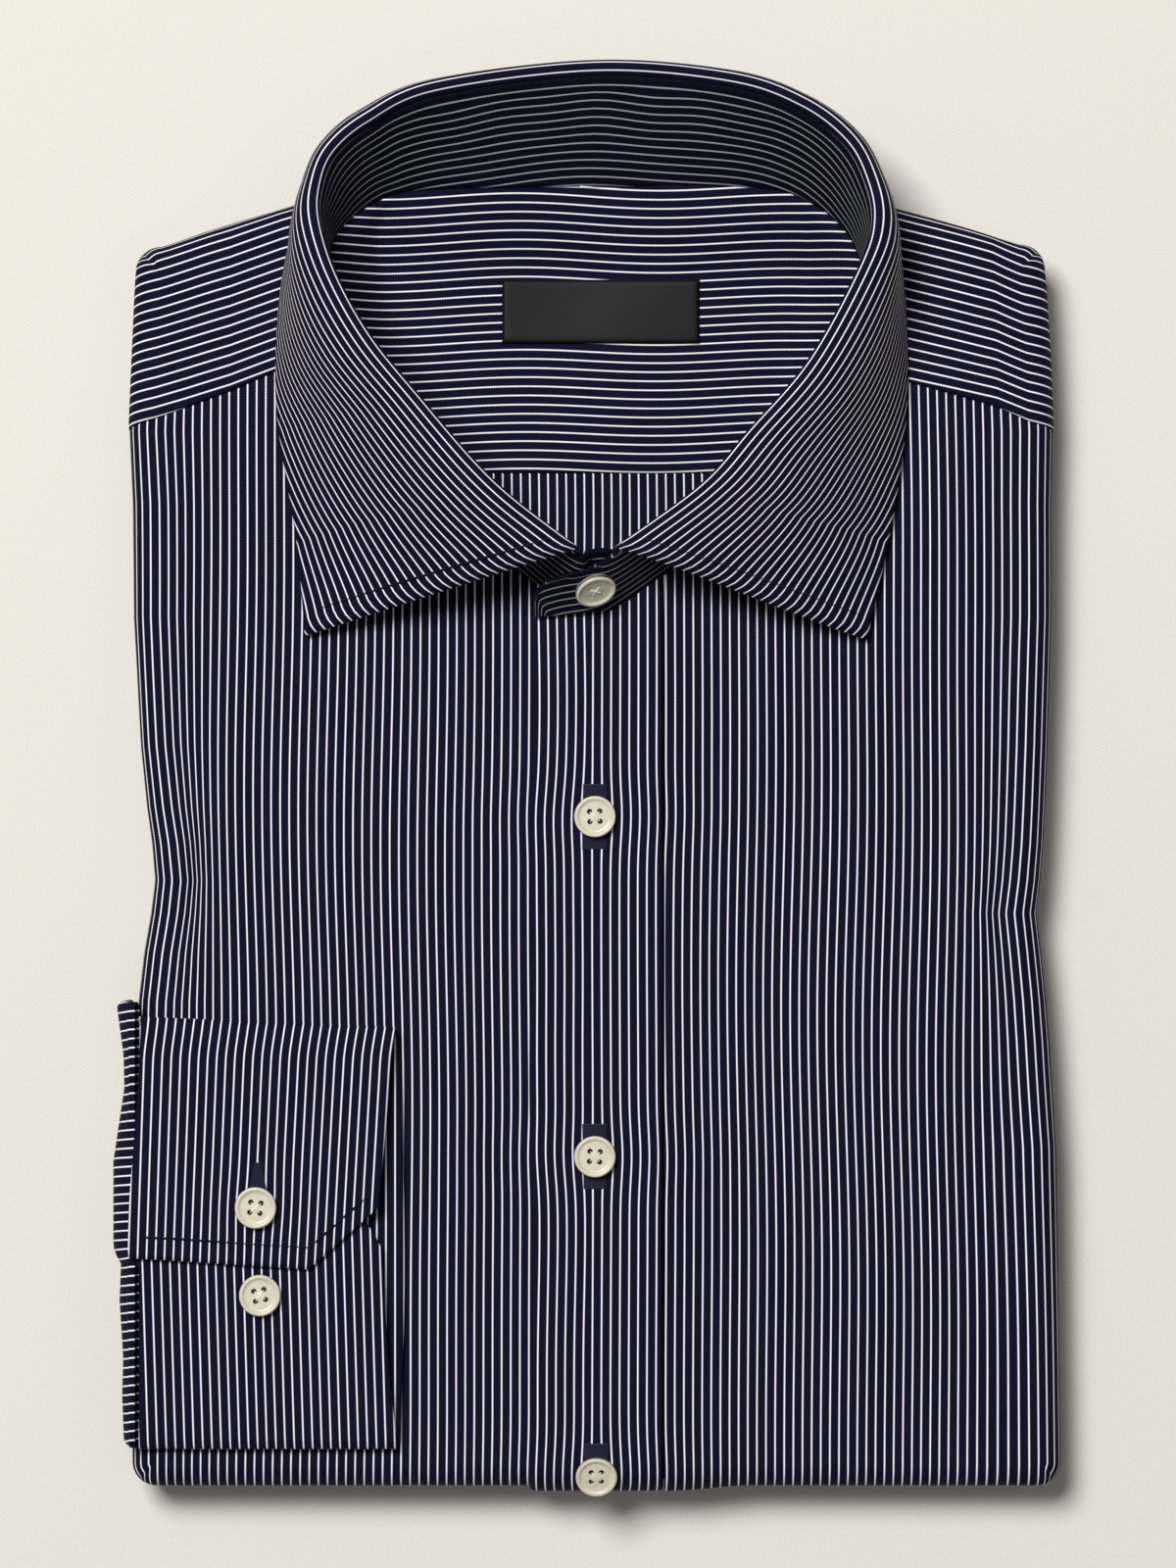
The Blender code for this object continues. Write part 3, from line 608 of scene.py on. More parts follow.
# %% Collar table
COLLAR_COLUMNS = ("crest_x", "crest_y", "crest_z", "edge_x", "edge_y", "edge_z",
                  "foot_x", "foot_y", "foot_z", "out", "reach", "tuck", "hold")
COLLAR = (
    (-4.0, 61.8, 45.0, -77.4, 38.9, 24.6, -7.0, 48.0, 22.9, 197, 20, 20, 20),
    (-26.9, 80.0, 48.5, -79.6, 64.0, 24.4, -37.0, 70.5, 22.9, 205, 18, 32, 14),
    (-48.0, 104.0, 51.0, -84.6, 95.0, 24.0, -59.0, 96.5, 22.9, 205, 15, 50, 12),
    (-60.3, 119.4, 52.0, -85.5, 113.0, 23.8, -70.0, 115.0, 22.9, 205, 14, 68, 12),
    (-69.4, 135.9, 52.0, -84.5, 131.0, 23.6, -73.0, 132.0, 22.9, 198, 11, 78, 12),
    (-74.0, 150.7, 50.5, -81.5, 148.0, 23.8, -71.5, 146.6, 21.8, 180, 8, 88, 12),
    (-73.8, 161.0, 46.5, -78.0, 160.0, 17.5, -66.0, 154.0, 19.0, 160, 6, 92, 10),
    (-70.0, 170.6, 43.0, -72.0, 168.0, 5.0, -59.5, 158.5, 17.0, 140, 6, 110, 12),
    (-60.0, 179.4, 39.5, -59.0, 172.0, 0.5, -52.0, 161.5, 16.0, 115, 6, 150, 14),
    (-41.5, 188.2, 35.5, -40.0, 174.0, 0.5, -38.0, 162.5, 15.4, 100, 6, 178, 16),
    (2.0, 193.8, 33.5, 2.0, 175.0, 0.5, 1.0, 163.0, 15.2, 90, 6, 178, 17),
    (38.6, 190.8, 35.0, 38.0, 175.0, 0.5, 36.0, 163.2, 15.4, 82, 6, 178, 16),
    (58.2, 183.8, 38.5, 57.0, 173.0, 0.5, 53.0, 162.0, 16.0, 66, 6, 150, 14),
    (70.8, 173.9, 42.5, 73.0, 170.0, 5.0, 61.5, 158.8, 17.0, 42, 6, 110, 12),
    (76.6, 163.0, 46.0, 80.5, 161.0, 17.5, 69.0, 153.5, 19.0, 22, 6, 92, 10),
    (78.6, 151.0, 50.0, 84.6, 147.0, 23.8, 75.0, 144.5, 21.8, 0, 8, 88, 12),
    (74.8, 138.0, 51.5, 86.8, 132.0, 23.6, 77.5, 130.0, 22.9, -18, 11, 78, 12),
    (61.0, 112.5, 51.5, 87.5, 108.0, 23.8, 71.0, 110.0, 22.9, -25, 14, 66, 12),
    (44.8, 93.4, 50.0, 85.8, 86.0, 24.0, 57.0, 89.5, 22.9, -25, 16, 50, 12),
    (31.8, 78.8, 48.0, 82.0, 64.0, 24.4, 40.0, 69.5, 22.9, -25, 18, 32, 14),
    (8.8, 62.0, 45.0, 76.3, 37.8, 24.6, 10.0, 47.5, 22.9, -17, 20, 20, 20),
)
ROLL_RADIUS = 1.8
UP = np.array([0.0, 0.0, 1.0])


def through(rows, steps):
    """A smooth curve through the rows (Catmull-Rom), with `steps` steps between each two."""
    rows = np.asarray(rows, float)
    padded = np.concatenate([[2 * rows[0] - rows[1]], rows, [2 * rows[-1] - rows[-2]]])
    before, start, end, after = (padded[k:len(padded) - 3 + k, None] for k in range(4))
    t = (np.arange(steps) / steps)[None, :, None]
    curve = 2 * start + (end - before) * t + (2 * before - 5 * start + 4 * end - after) * t**2
    curve = 0.5 * (curve + (3 * start - before - 3 * end + after) * t**3)
    return np.concatenate([curve.reshape(-1, rows.shape[1]), rows[-1:]])


cut = dict(zip(COLLAR_COLUMNS, through(COLLAR, 12).T))
CREST, EDGE, FOOT = (np.stack([cut[place + axis] for axis in ("_x", "_y", "_z")], axis=-1)
                     for place in ("crest", "edge", "foot"))
turned = np.radians(cut["out"])
WAY = joined(np.cos(turned), np.sin(turned), 0)
print("collar sections:", len(CREST))

# %% Frames along the collar
centre = CREST - UP * ROLL_RADIUS
down = FOOT - centre
down /= np.linalg.norm(down, axis=1)[:, None]
lean_way = np.sum(down * WAY, axis=1)[:, None]
inward = (WAY * down[:, 2:] - UP * lean_way) / np.sqrt(lean_way**2 + down[:, 2:] ** 2)
band_foot = FOOT + ROLL_RADIUS * inward
behind = band_foot[band_foot[:, 1] > 152]
back_foot = behind[np.argsort(behind[:, 0])].T
print("neck opening at the band's foot:", round(float(np.ptp(band_foot[:, 0])), 1), "mm wide")


def side_of_foot(side):
    """The band's foot on one side, front to back, as rows of x, y and z that rise in y."""
    half = band_foot[:len(band_foot) // 2] if side == "left" else band_foot[:len(band_foot) // 2:-1]
    return half[np.argsort(half[:, 1])].T


# %% [markdown]
# ## Inside the neck
# Through the open collar the inner yoke shows, cut crosswise, with a plain satin label, and below its
# seam the inside of the back, cut lengthwise. They sag into a shallow dish, deepest in the middle.
# The dish rises at its sides to meet the band.

# %% Inner yoke and back
INNER_SEAM_Y = 83.8
INNER_FLOOR = 11.8


def dish(share, y):
    """Places in the neck's dish. Across, it runs from the band's foot on one side to the other. Its
    height is the floor's, rising near the sides and the back to the foot's own height."""
    left, right = (np.interp(y, *side_of_foot(side)[[1, 0]]) for side in ("left", "right"))
    x = left + (right - left) * share
    edge_height = np.interp(y, *side_of_foot("left")[[1, 2]]) + 0.2
    back_height = np.interp(x, back_foot[0], back_foot[2]) + 0.2
    near_side = 1 - smooth(np.minimum(x - left, right - x) / 17)
    side = (edge_height - INNER_FLOOR) * near_side * smooth((y - INNER_SEAM_Y) / 20)
    back = (back_height - INNER_FLOOR) * smooth((y - 136) / 26)
    soft = 0.5 * np.sin(x / 23 + y / 31) + 0.3 * np.sin(x / 11 - y / 17 + 1)
    return joined(x, y, INNER_FLOOR + np.maximum(side, back) + soft * (1 - near_side))


def make_inner(name, node, shares, ys, finish, width, length):
    """A sheet in the dish, whose stripes wave slightly."""
    share, y = np.meshgrid(shares, ys)
    points = dish(share, y)
    flat = points[..., :2].copy()
    wave = 0.45 * np.sin(flat[..., 0] / 12) * (1 + y / 200) + 0.25 * np.sin(flat[..., 0] / 27 + y / 30)
    wavy = flat + joined(0.3 * np.sin(y / 15), wave + PITCH / 2)
    declare(put(name, points, wavy, finish), [node], width, length, flat_area(flat))


yoke_ys = np.concatenate([np.linspace(INNER_SEAM_Y + 0.1, 154, 60), np.linspace(154.5, 162.6, 18)])
make_inner("shirt_yoke_inner", "yoke_inner", np.linspace(0, 1, 120), yoke_ys, crosswise, 152, 80)
back_ys = np.linspace(50, INNER_SEAM_Y - 0.1, 36)
make_inner("shirt_back_inside", "back_inside", np.linspace(0.02, 0.98, 70), back_ys, shirting, 110, 34)

# %% Neck label
satin = plain("label_satin_black", (0.0045, 0.0045, 0.005, 1), 0.55)
LABEL_LEFT, LABEL_RIGHT, LABEL_LOW, LABEL_HIGH = -23.6, 30.6, 119.5, 137.0
x, y = np.meshgrid(np.linspace(LABEL_LEFT, LABEL_RIGHT, 50), np.linspace(LABEL_LOW, LABEL_HIGH, 18))
rim = np.minimum(np.minimum(x - LABEL_LEFT, LABEL_RIGHT - x), np.minimum(y - LABEL_LOW, LABEL_HIGH - y))
left, right = (np.interp(y, *side_of_foot(side)[[1, 0]]) for side in ("left", "right"))
height = dish((x - left) / (right - left), y)[..., 2]
points = joined(x, y, height + 0.6 + 0.25 * smooth(rim / 1.2))
label = put("shirt_neck_label", points, joined(x, y), satin, 0.3)
declare(label, ["neck_label"], 54, 18, None)

# %% Collar leaf
TAIL_DROPS, ROLL_ROWS = (2.0, 1.3, 0.6), 8
LEAF_WALL = 1.3


def leaf_surface():
    """The leaf's outer face: the tail on the band, the roll, and the curve out to the free edge."""
    rows = [centre + ROLL_RADIUS * inward + down * drop for drop in TAIL_DROPS]
    lean = np.arctan2(-np.sum(inward * WAY, axis=1), inward[:, 2])
    for share in np.linspace(1, 0, ROLL_ROWS + 1)[:-1]:
        angle = (lean * share)[:, None]
        rows.append(centre + ROLL_RADIUS * (UP * np.cos(angle) - WAY * np.sin(angle)))
    tuck = np.radians(cut["tuck"])[:, None]
    arrive = WAY * np.cos(tuck) - UP * np.sin(tuck)
    second = CREST + WAY * cut["reach"][:, None]
    third = EDGE - arrive * cut["hold"][:, None]
    for t in np.linspace(0, 1, 46):
        near = (1 - t) ** 3 * CREST + 3 * (1 - t) ** 2 * t * second
        rows.append(near + 3 * (1 - t) * t**2 * third + t**3 * EDGE)
    return np.stack(rows, axis=0)


def lengths(points, axis):
    """Running length along one way of a grid, from 0."""
    step = np.linalg.norm(np.diff(points, axis=axis), axis=-1)
    start = np.zeros_like(np.take(step, [0], axis=axis))
    return np.concatenate([start, np.cumsum(step, axis=axis)], axis=axis)


leaf = leaf_surface()
crest_row = len(TAIL_DROPS) + ROLL_ROWS
along_roll = lengths(CREST[None], 1)[0]
LEAF_STRIPES = {  # stripes from the roll to the free edge at each section, as a share of true pitch
    "section": (0, 1, 2, 3, 4, 5, 15, 16, 17, 18, 19, 20),
    "share": (0.91, 1.13, 1.21, 1.20, 1.15, 1.0, 1.0, 1.15, 1.20, 1.15, 1.16, 0.95),
}
section = np.linspace(0, len(COLLAR) - 1, len(CREST))
from_roll = lengths(leaf, 0)
from_roll = (from_roll - from_roll[crest_row]) * table(LEAF_STRIPES, "share", section, "section")
from_roll = np.maximum(from_roll, -2 * PITCH)
front_run = lengths(leaf, 1)
from_front = np.minimum(front_run, front_run[:, -1:] - front_run)
HOOK, HOOK_REACH = 1.5, 4.5  # the stripes turn up a little at the leaf's front edges
hook = HOOK * smooth((HOOK_REACH - from_front) / HOOK_REACH) ** 2
leaf_cloth = joined(along_roll, from_roll + hook)
leaf_width = float(np.max(lengths(leaf, 0)[-1]))
print("leaf width at its widest section:", round(leaf_width, 1), "mm")
collar_leaf = put("shirt_collar_leaf", leaf, leaf_cloth, crosswise, LEAF_WALL)
cells = np.cross(leaf[1:, 1:] - leaf[:-1, :-1], leaf[1:, :-1] - leaf[:-1, 1:])
area = float(np.linalg.norm(cells, axis=-1).sum() / 2) * MM * MM
declare(collar_leaf, ["collar_leaf"], 440, 85, area)

# %% Collar stand
# Beyond the leaf the band's two ends go on. Each row is a place on its foot and one on its top edge.
BAND_LEFT_END = ((11.5, 52.5, 22.9, 11.0, 61.2, 33.0), (5.5, 51.2, 22.9, 4.5, 62.6, 35.0),
                 (0.0, 50.6, 22.9, -0.5, 62.0, 36.5))
BAND_RIGHT_END = ((2.0, 46.4, 24.6, 0.0, 57.4, 36.0), (-7.0, 45.4, 24.6, -7.5, 55.5, 34.5),
                  (-12.4, 45.0, 24.8, -12.8, 52.8, 32.2), (-14.6, 44.8, 24.9, -15.0, 49.6, 29.6))
TONGUE = 60  # the end that shows: only here do the stripes turn round the tip
HEM, CORNER = 1.5, 1.2
band_head = centre + ROLL_RADIUS * inward + down * 2.05
band_rows = np.concatenate([band_foot, band_head], axis=1)[::6]
band_rows = np.concatenate([np.array(BAND_LEFT_END), band_rows, np.array(BAND_RIGHT_END)])
band_rows = through(band_rows, 5)
share = np.linspace(0, 1, 26)[:, None, None]
stand = band_rows[None, :, :3] + (band_rows[None, :, 3:] - band_rows[None, :, :3]) * share
run = lengths(stand[:1], 1)[0]
height = lengths(stand, 0)
to_tip = run[-1] - run
behind = smooth((to_tip - TONGUE) / TONGUE)
tip_height = height[-1, -1]
top = tip_height + (height[-1] - tip_height) * (0.5 + 0.5 * behind)
below_top = top + HEM - 2 * HEM * behind - height
below_top = np.where(behind > 0.5, np.maximum(below_top, 0), below_top)
from_tip = 3.2 * to_tip + 0.6
# A soft minimum of the two distances: the stripes run along the top and bend down round the tip.
round_tip = -CORNER * np.log(np.exp(-below_top / CORNER) + np.exp(-from_tip / CORNER))
wave = 0.5 * np.sin(run / 9) + 0.35 * np.sin(run / 4.1 + 1) * smooth((height - 8) / 12)
across_band = wave * smooth((to_tip - 30) / 30) * smooth(below_top / 5) - round_tip
hem = (height[-1] - height < HEM) & (to_tip < TONGUE)
across_band = np.where(hem, between_stripes(across_band), across_band)
stand_cloth = joined(run, across_band)
collar_stand = put("shirt_collar_stand", stand, stand_cloth, shaded, LEAF_WALL)
declare(collar_stand, ["collar_stand"], 450, 34, None)

# %% [markdown]
# ## Cuff and sleeve end
# One cuff lies on the front, folded over at the top and again at the bottom, its flap over its
# under-lap. It is a strip that follows a path seen from the side. The sleeve it belongs to goes on
# over the shirt's edge, flattened.

# %% Cuff
CUFF_LEFT, CUFF_RIGHT, CUFF_WIDTH = -122.6, -57.0, 66
CUFF_TOP = 28.9  # height of the flap's end
CUFF_COLUMNS, END_ROWS, UNDER_ROWS = 56, 13, 22
# Each row is y, z and the x of the right edge, from the flap's end over both folds to the under-lap.
CUFF_FLAP = ((-112.0, 28.9, -56.6), (-95.0, 28.6, -55.2), (-80.0, 28.3, -54.1), (-71.0, 28.0, -53.0))
CUFF_TOP_FOLD = ((-67.6, 27.2, -52.5), (-66.1, 25.4, -52.4), (-67.6, 23.6, -52.0), (-71.0, 22.8, -51.5))
CUFF_BELOW = ((-100.0, 22.8, -50.6), (-140.0, 22.8, -50.2), (-178.0, 22.8, -51.2))
CUFF_LOW_FOLD = ((-181.8, 23.3, -51.6), (-183.3, 24.9, -52.0), (-181.8, 26.4, -52.2), (-178.0, 27.0, -52.6))
CUFF_UNDER = ((-160.0, 27.1, -54.2), (-140.0, 27.1, -55.2), (-119.0, 27.1, -56.4))
UNDER_CUT = {"x": (-122, -67, -60, -57, -56), "drop": (0, 0, 3, 8, 10)}
FLAP_END = {"x": (-124, -93, -76, -57), "y": (-130.8, -133.0, -134.0, -117.0)}
cuff_path = through((*CUFF_FLAP, *CUFF_TOP_FOLD, *CUFF_BELOW, *CUFF_LOW_FOLD, *CUFF_UNDER), 7)
across = np.linspace(0, 1, CUFF_COLUMNS)
x_flap = CUFF_LEFT + (CUFF_RIGHT - CUFF_LEFT) * across
first = joined(x_flap, table(FLAP_END, "y", x_flap), CUFF_TOP)
path_y, path_z, path_right = cuff_path.T[..., None]
path_x = CUFF_LEFT + (path_right - CUFF_LEFT) * across
body = joined(path_x, path_y, path_z)
shares = np.linspace(0, 1, END_ROWS + 1)[:-1, None, None]
cuff_points = np.concatenate([first + (body[0] - first) * shares, body])
under = len(cuff_points) - UNDER_ROWS
last = smooth((np.arange(len(cuff_points)) - under) / (UNDER_ROWS - 1))[:, None]
cuff_points[..., 1] -= last * table(UNDER_CUT, "drop", cuff_points[..., 0])
soft = 0.25 * np.sin(cuff_points[..., 1] / 17 + cuff_points[..., 0] / 13)
cuff_points[..., 2] += soft * smooth((cuff_points[..., 2] - 26) / 2)
CUFF_EDGE = {"y": (-134, -131, -128, -117, -89, -66), "shift": (0, -2.6, -2.9, -2.6, -0.5, 0.8)}
from_left = (cuff_points[..., 0] - CUFF_LEFT) / CUFF_WIDTH
on_top = smooth((cuff_points[..., 2] - 25) / 2)
edge_shift = table(CUFF_EDGE, "shift", cuff_points[..., 1], "y")
cuff_points[..., 0] += edge_shift * (1 - smooth(from_left * 5)) * on_top
near_top = smooth((cuff_points[..., 1] + 110) / 42)
cuff_points[..., 1] += (1.0 - 2.8 * from_left) * near_top
run = lengths(cuff_points, 0)
run = run - run[END_ROWS]
middle_y, middle_run = cuff_points[:, CUFF_COLUMNS // 2, 1], run[:, CUFF_COLUMNS // 2]
at_top = middle_run[np.argmax(middle_y)]
at_bottom = middle_run[np.argmin(np.where(middle_run > 100, middle_y, np.inf))]  # past the top fold
from_top = run - at_top
fan = 0.6 + 0.5 * smooth((cuff_points[..., 0] + 130) / 75)
lean = 0.052 * fan * np.maximum(-from_top, 0) - 0.8 * smooth((from_top + 12) / 12)
lean = lean + 0.03 * np.maximum(run - at_bottom, 0)
held = bow(cuff_points[..., 0], cuff_points[..., 1], ((-90.6, -117.1),), 0.6, 9.0, 8.0) * (from_top < 0)
cuff_cloth = joined(cuff_points[..., 0] + lean - held, run)
cuff = put("shirt_cuff", cuff_points, cuff_cloth, shirting, 1.0)
declare(cuff, ["cuff"], 72, 250, None)

# %% Sleeve end
SLEEVE_PATH = ((-123.6, 27.6), (-126.0, 26.8), (-128.6, 23.6), (-129.6, 18.0), (-129.4, 10.0), (-128.6, 3.0))
SLEEVE_TOP_Y, SLEEVE_BOTTOM_Y = -61.5, -182.5
SLEEVE_DEPTH = 3.4  # its two layers, with the air between them
path = through(SLEEVE_PATH, 8)
way = np.gradient(path, axis=0)
way /= np.linalg.norm(way, axis=1)[:, None]
inside = joined(-way[:, 1], way[:, 0])
half = SLEEVE_DEPTH / 2
turn = np.linspace(0, math.pi, 9)
rows_y = np.linspace(SLEEVE_BOTTOM_Y + half, SLEEVE_TOP_Y - half, 60)[1:-1]
ring_y = np.concatenate([SLEEVE_BOTTOM_Y + half - half * np.sin(turn), rows_y,
                         SLEEVE_TOP_Y - half + half * np.sin(turn), rows_y[::-1]])
ring_deep = np.concatenate([half + half * np.cos(turn), np.zeros_like(rows_y),
                            half - half * np.cos(turn), np.full_like(rows_y, SLEEVE_DEPTH)])
sleeve = joined(path[:, None, 0] + inside[:, None, 0] * ring_deep, ring_y,
                path[:, None, 1] + inside[:, None, 1] * ring_deep)
SLEEVE_EDGE = {"y": (-182, -169, -159, -143, -132.5, -130, -127.6, -105, -85, -76, -62),
               "shift": (2.8, 2.3, 2.6, 1.6, 2.0, 0.2, -0.1, -0.1, 2.9, 2.7, 0.8)}
bent = smooth((-124.5 - sleeve[..., 0]) / 3.5)
sleeve[..., 0] += table(SLEEVE_EDGE, "shift", sleeve[..., 1], "y") * bent
run = np.concatenate([[0], np.cumsum(np.linalg.norm(np.diff(path, axis=0), axis=1))])[:, None]
sleeve_cloth = joined(run, ring_y + 0.09 * run)
sleeve_end = put("shirt_sleeve_end", sleeve[::-1], sleeve_cloth[::-1], crosswise, 0.4, closed=True)
declare(sleeve_end, ["sleeve_end"], 240, 28, None)

# %% [markdown]
# ## Stitches
# The collar and the cuff are topstitched 6 mm inside their edges. A stitch is a short rounded bar
# that sinks at both ends. All of a seam's are joined in one mesh: the same small bar, carried to each
# place by a frame of three directions.


# %% Stitches
BAR_SIDES = 6
STITCH_IN, STITCH_STEP = 6.0, 2.5
STITCH_LONG, STITCH_WIDE = 2.45, 0.7


def at_length(points, run, value, axis):
    """The points of a grid where its running length along the axis reaches a value."""
    if axis == 1:
        return at_length(points.swapaxes(0, 1), run.swapaxes(0, 1), value, 0)
    value = np.broadcast_to(value, run.shape[1:])
    after = np.clip(np.sum(run < value, axis=0), 1, len(run) - 1)
    column = np.arange(run.shape[1])
    low, high = run[after - 1, column], run[after, column]
    share = np.clip((value - low) / np.maximum(high - low, 1e-9), 0, 1)[:, None]
    return points[after - 1, column] * (1 - share) + points[after, column] * share


def evenly(line, step):
    """Places along a line at equal steps, and the line's direction there."""
    along = np.concatenate([[0], np.cumsum(np.linalg.norm(np.diff(line, axis=0), axis=1))])
    at = np.arange(step / 2, along[-1], step)
    place, ahead, behind = (np.stack([np.interp(at + move, along, line[:, k]) for k in range(3)], axis=-1)
                            for move in (0, 0.5, -0.5))
    way = ahead - behind
    return place, way / np.maximum(np.linalg.norm(way, axis=1)[:, None], 1e-9)


def bars(name, place, way, up, long, wide, finish):
    """Small rounded bars: an ellipsoid of 6 rings and 6 sides, one at each place, joined."""
    side = np.cross(up, way)
    side /= np.maximum(np.linalg.norm(side, axis=1)[:, None], 1e-9)
    ring = np.linspace(0.12, math.pi - 0.12, BAR_SIDES)[:, None]
    turn = np.arange(BAR_SIDES) * math.pi / 3
    shape = joined(np.cos(ring), np.sin(ring) * np.cos(turn), np.sin(ring) * np.sin(turn))
    shape = shape.reshape(-1, 3) * np.array([long / 2, wide / 2, wide / 2])
    points = place[:, None] + shape[None, :, :1] * way[:, None] + shape[None, :, 1:2] * side[:, None]
    points = points + shape[None, :, 2:] * up[:, None]
    at = np.arange(BAR_SIDES**2).reshape(BAR_SIDES, BAR_SIDES)
    after = np.roll(at, -1, axis=1)
    first = at.size * np.arange(len(place))[:, None, None]
    quads = joined(at[:-1], at[1:], after[1:], after[:-1]).reshape(-1, 4) + first
    ends = np.stack([at[0], at[-1, ::-1]]) + first
    mesh = bpy.data.meshes.new(name)
    faces = quads.reshape(-1, 4).tolist() + ends.reshape(-1, BAR_SIDES).tolist()
    mesh.from_pydata((points.reshape(-1, 3) * MM).tolist(), [], faces)
    mesh.shade_smooth()
    made = show(bpy.data.objects.new(name, mesh), finish)
    print(name, len(place), "stitches")


def normals_of(points):
    """Upward normals of a grid."""
    normal = np.cross(np.gradient(points, axis=1), np.gradient(points, axis=0))
    normal /= np.maximum(np.linalg.norm(normal, axis=-1)[..., None], 1e-9)
    return normal


thread = plain("thread_navy", (0.003, 0.0026, 0.012, 1), 0.8)
leaf_run = lengths(leaf, 0)
both = np.concatenate([leaf, normals_of(leaf)], axis=-1)
lines = []
free = at_length(both, leaf_run, leaf_run[-1] - STITCH_IN, 0)[60:-60]  # behind, between the fronts
left_front = at_length(both, front_run, STITCH_IN, 1)[crest_row + 1:-3]
right_front = at_length(both, front_run, front_run[:, -1] - STITCH_IN, 1)[crest_row + 1:-3]
for line in (free, left_front, right_front):
    place, way = evenly(line[:, :3], STITCH_STEP)
    nearest = np.argmin(np.linalg.norm(place[:, None] - line[None, :, :3], axis=-1), axis=1)
    lines.append((place + line[nearest, 3:] * 0.32, way, line[nearest, 3:]))
place, way, up = (np.concatenate([line[k] for line in lines]) for k in range(3))
bars("stitches_collar", place, way, up, STITCH_LONG, STITCH_WIDE, thread)
flap = cuff_points[:END_ROWS + 1]
flap_line = at_length(flap, lengths(flap, 0), STITCH_IN, 0)[3:-3]
place, way = evenly(flap_line, STITCH_STEP)
up = np.tile(UP, (len(place), 1))
bars("stitches_cuff", place + UP * 0.25, way, up, STITCH_LONG, STITCH_WIDE, thread)

# %% [markdown]
# ## Buttonholes
# Behind each front button the buttonhole is a dense bar of navy thread that hides the stripes. It is
# a low rounded patch with thread ridges in its bump, since modelling hundreds of turns of thread
# would not show.

# %% Buttonholes
CORD_STEP = 0.42  # from one turn of thread to the next
HOLE_WIDE, HOLE_REACH = 6.5, 8.9  # a buttonhole's width, and how far it reaches from its button


def corded(name, colour):
    """Thread laid side by side: fine ridges across the bar."""
    made = plain(name, colour, 0.62, 0.15)
    tree = made.node_tree
    along = parts_of(tree, node_of(tree, "ShaderNodeTexCoord").outputs["Object"])[1]
    ridge = (along * (2 * math.pi / (CORD_STEP * MM))).sine()
    raise_by(tree.nodes["Principled BSDF"], 0.6, 0.15, ridge)
    return made


cord_navy = corded("buttonhole_navy", (0.010, 0.009, 0.028, 1))


def patch(name, mid_x, low_y, high_y, place_of, taper=0.0):
    """A low patch with rounded edges: 0.32 mm above the cloth, falling to 0.10 over the last 0.8 mm."""
    x, y = np.meshgrid(np.linspace(-1, 1, 22), np.linspace(0, 1, 40))
    at_x, at_y = mid_x + x * HOLE_WIDE / 2 * (1 - taper * y), low_y + y * (high_y - low_y)
    rim = np.minimum(HOLE_WIDE / 2 * (1 - np.abs(x)), np.minimum(y, 1 - y) * (high_y - low_y))
    points = place_of(at_x, at_y, 0.10 + 0.22 * smooth(rim / 0.8))
    made = put(name, points, joined(at_x, at_y), cord_navy, 0.2)
    print(name, "is", round(high_y - low_y, 1), "mm long")


for index, (mid_x, mid_y) in enumerate(FRONT_BUTTONS):
    below = 5.0 if index == 2 else HOLE_REACH
    patch(f"buttonhole_front_{index}", mid_x - 0.1, mid_y - below, mid_y + HOLE_REACH, placket_place)


def on_cuff(x, y, above):
    return joined(x, y, CUFF_TOP + 0.15 + above)


patch("buttonhole_cuff", -90.0, -117, -104.8, on_cuff, 0.75)

# %% [markdown]
# ## Buttons
# The buttons are cream resin with a fine raised rim, a flat dished face and four holes. A button is
# one surface of revolution on rings and sides, and each hole is a well pressed in it: the height of
# the face drops steeply inside a small circle. Cutting with a Boolean would give rougher edges.

# %% Buttons
BUTTON_RADIUS, DISH_RADIUS = 5.7, 3.6
HOLE_AT, HOLE_RADIUS = 1.4, 0.65
FACE = {"radius": (0, 3.9, 4.35, 4.7, 5.1, 5.45, 5.68, 5.7),
        "height": (0.62, 0.60, 0.72, 1.1, 1.2, 1.1, 0.75, 0.3)}
BACK = {"radius": (5.7, 5.5, 4.8, 3.6, 0.02), "height": (0.3, -0.5, -1.05, -1.2, -1.2)}
BUTTONS = {  # x, y, z, tilt and turn in degrees
    "button_band": (2.0, 51.2, 34.3, 51, 20),
    "button_front_upper": (1.9, -10.5, 25.2, 0, 2),
    "button_front_middle": (1.9, -103.4, 25.2, 0, -3),
    "button_front_lower": (2.3, -190.8, 24.9, 20, 0),
    "button_cuff": (-90.6, -117.1, 30.4, 0, -6),
    "button_cuff_spare": (-89.5, -141.1, 28.6, 0, 10),
}


def resin():
    """Cream resin: cloudy, slightly yellow, with a clear gloss; its holes' wells carry painted shade, near
    black at their depth.
    """
    made, tree, shader = new_material("button_resin_cream")
    place = node_of(tree, "ShaderNodeTexCoord").outputs["Object"]
    face = blend(tree, noise(tree, place, 320.0, 3.0), (0.62, 0.565, 0.42, 1), (0.80, 0.75, 0.62, 1))
    # painted shade: the wells' depth, read from the UV map, darkens the face to near black inside the holes
    deep = parts_of(tree, node_of(tree, "ShaderNodeUVMap", {"uv_map": "cloth"}).outputs[0])[0]
    shade = blend(tree, (deep * 1.1).clamped(), face, (0.03, 0.02, 0.015, 1))
    raise_by(shader, 0.15, 0.05, noise(tree, place, 3000.0, 2.0))
    give(shader, Base_Color=shade, Roughness=0.34, Subsurface_Weight=0.15,
         Subsurface_Radius=(0.002, 0.0015, 0.001))
    return made


cream = resin()
cream_thread = plain("thread_cream", (0.78, 0.71, 0.58, 1), 0.7, 0.2)


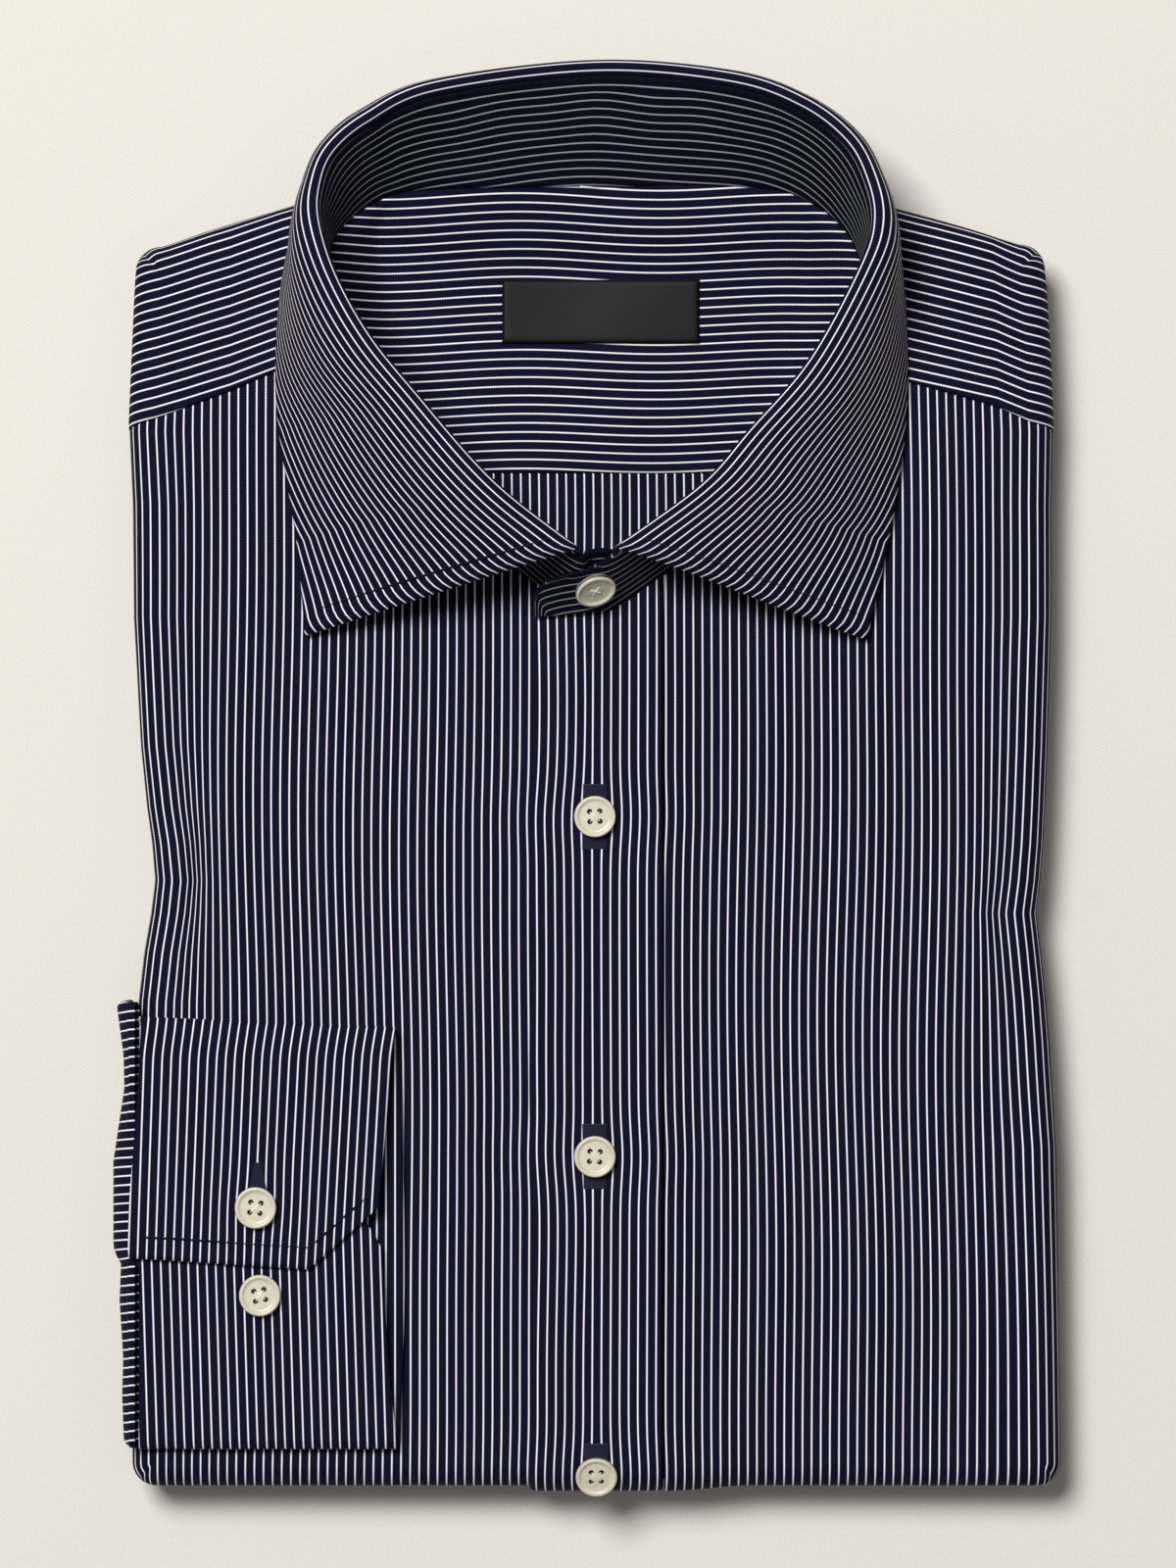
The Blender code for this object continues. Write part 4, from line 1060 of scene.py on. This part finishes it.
def turned_by(tilt, turn):
    """The matrix that tilts about X and then turns about Z."""
    a, b = math.radians(tilt), math.radians(turn)
    about_x = np.array([[1, 0, 0], [0, math.cos(a), -math.sin(a)], [0, math.sin(a), math.cos(a)]])
    about_z = np.array([[math.cos(b), -math.sin(b), 0], [math.sin(b), math.cos(b), 0], [0, 0, 1]])
    return about_z @ about_x


def make_button(name, x, y, z, tilt, turn):
    """Rings of the profile, resampled finely, with four wells in the face. The well's wall is a steep
    S-curve, and the middle rises slightly under the thread."""
    face = np.concatenate([np.linspace(0.02, DISH_RADIUS, 34), np.linspace(3.7, BUTTON_RADIUS, 16)])
    radius = np.concatenate([face, BACK["radius"]])
    height = np.concatenate([table(FACE, "height", face, "radius"), BACK["height"]])
    side = np.linspace(0, 2 * math.pi, 96, endpoint=False)
    px, py = radius[:, None] * np.cos(side), radius[:, None] * np.sin(side)
    far = np.hypot(np.abs(px) - HOLE_AT, np.abs(py) - HOLE_AT)
    top = (np.arange(len(radius)) < len(face))[:, None]
    deep = 0.12 if name == "button_band" else 1.3
    well = deep * smooth((HOLE_RADIUS + 0.08 - far) / 0.16) * top
    hill = 0.12 * np.exp(-((radius / 0.9) ** 2))[:, None] * top
    points = joined(px, py, height[:, None] - well + hill)
    # the depth of each well goes into the UV map, for the painted shade inside the holes
    depth = joined(well / MM, 0)
    frame_of = turned_by(tilt, turn)
    points = points @ frame_of.T + np.array([x, y, z])
    made = put("shirt_" + name, points, depth, cream, 0, closed=True)
    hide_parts(name)
    diagonal = math.sqrt(0.5)
    ways = np.array([[diagonal, diagonal, 0], [diagonal, -diagonal, 0]]) @ frame_of.T
    sunk = 0.62 if "cuff" in name or "band" in name else 0.28
    place = np.array([x, y, z]) + np.outer([sunk, sunk + 0.08], frame_of[:, 2])
    up = np.tile(frame_of[:, 2], (2, 1))
    bars("thread_" + name, place, ways, up, 3.9, 0.62, cream_thread)


for name, row in BUTTONS.items():
    make_button(name, *row)

# %% [markdown]
# ## Floor, light and camera
# A pale floor, one large soft light high on the upper left, a weak one on the right, and an even pale
# sky. The camera looks straight down from far off, through a long lens, so the collar's height hardly
# changes its outline.

# %% Floor
bpy.ops.mesh.primitive_plane_add(size=6)
floor = bpy.context.object
floor.name = "studio_floor"
pale = plain("floor_pale", (0.70, 0.672, 0.615, 1), 0.9)
floor.data.materials.append(pale)
print("floor:", round(floor.dimensions.x, 1), "m wide")


# %% Light and camera
def lamp(name, place, size, power):
    """A square light at a place, turned to the middle of the shirt."""
    light = bpy.data.lights.new(name, "AREA")
    light.size, light.energy = size, power
    made = bpy.data.objects.new(name, light)
    bpy.context.scene.collection.objects.link(made)
    made.location = place
    x, y, z = place
    made.rotation_euler = (math.atan2(math.hypot(x, y), z), 0, math.atan2(y, x) + math.pi / 2)
    print("light", name, "of", power, "W")


lamp("key", (-1.0, 1.3, 3.2), 1.3, 126)
lamp("fill", (1.3, -0.6, 2.5), 1.6, 2)
sky = bpy.data.worlds.new("pale_sky")
bpy.context.scene.world = sky
sky.use_nodes = True
sky.node_tree.nodes["Background"].inputs[0].default_value = (1, 0.99, 0.97, 1)
sky.node_tree.nodes["Background"].inputs[1].default_value = 0.14
eye = bpy.data.objects.new("camera", bpy.data.cameras.new("camera"))
bpy.context.scene.collection.objects.link(eye)
eye.location = (0, -0.0016, 2.2)
eye.data.lens = 182.8
bpy.context.scene.camera = eye
bpy.context.scene.view_settings.view_transform = "Standard"

bpy.context.view_layer.update()
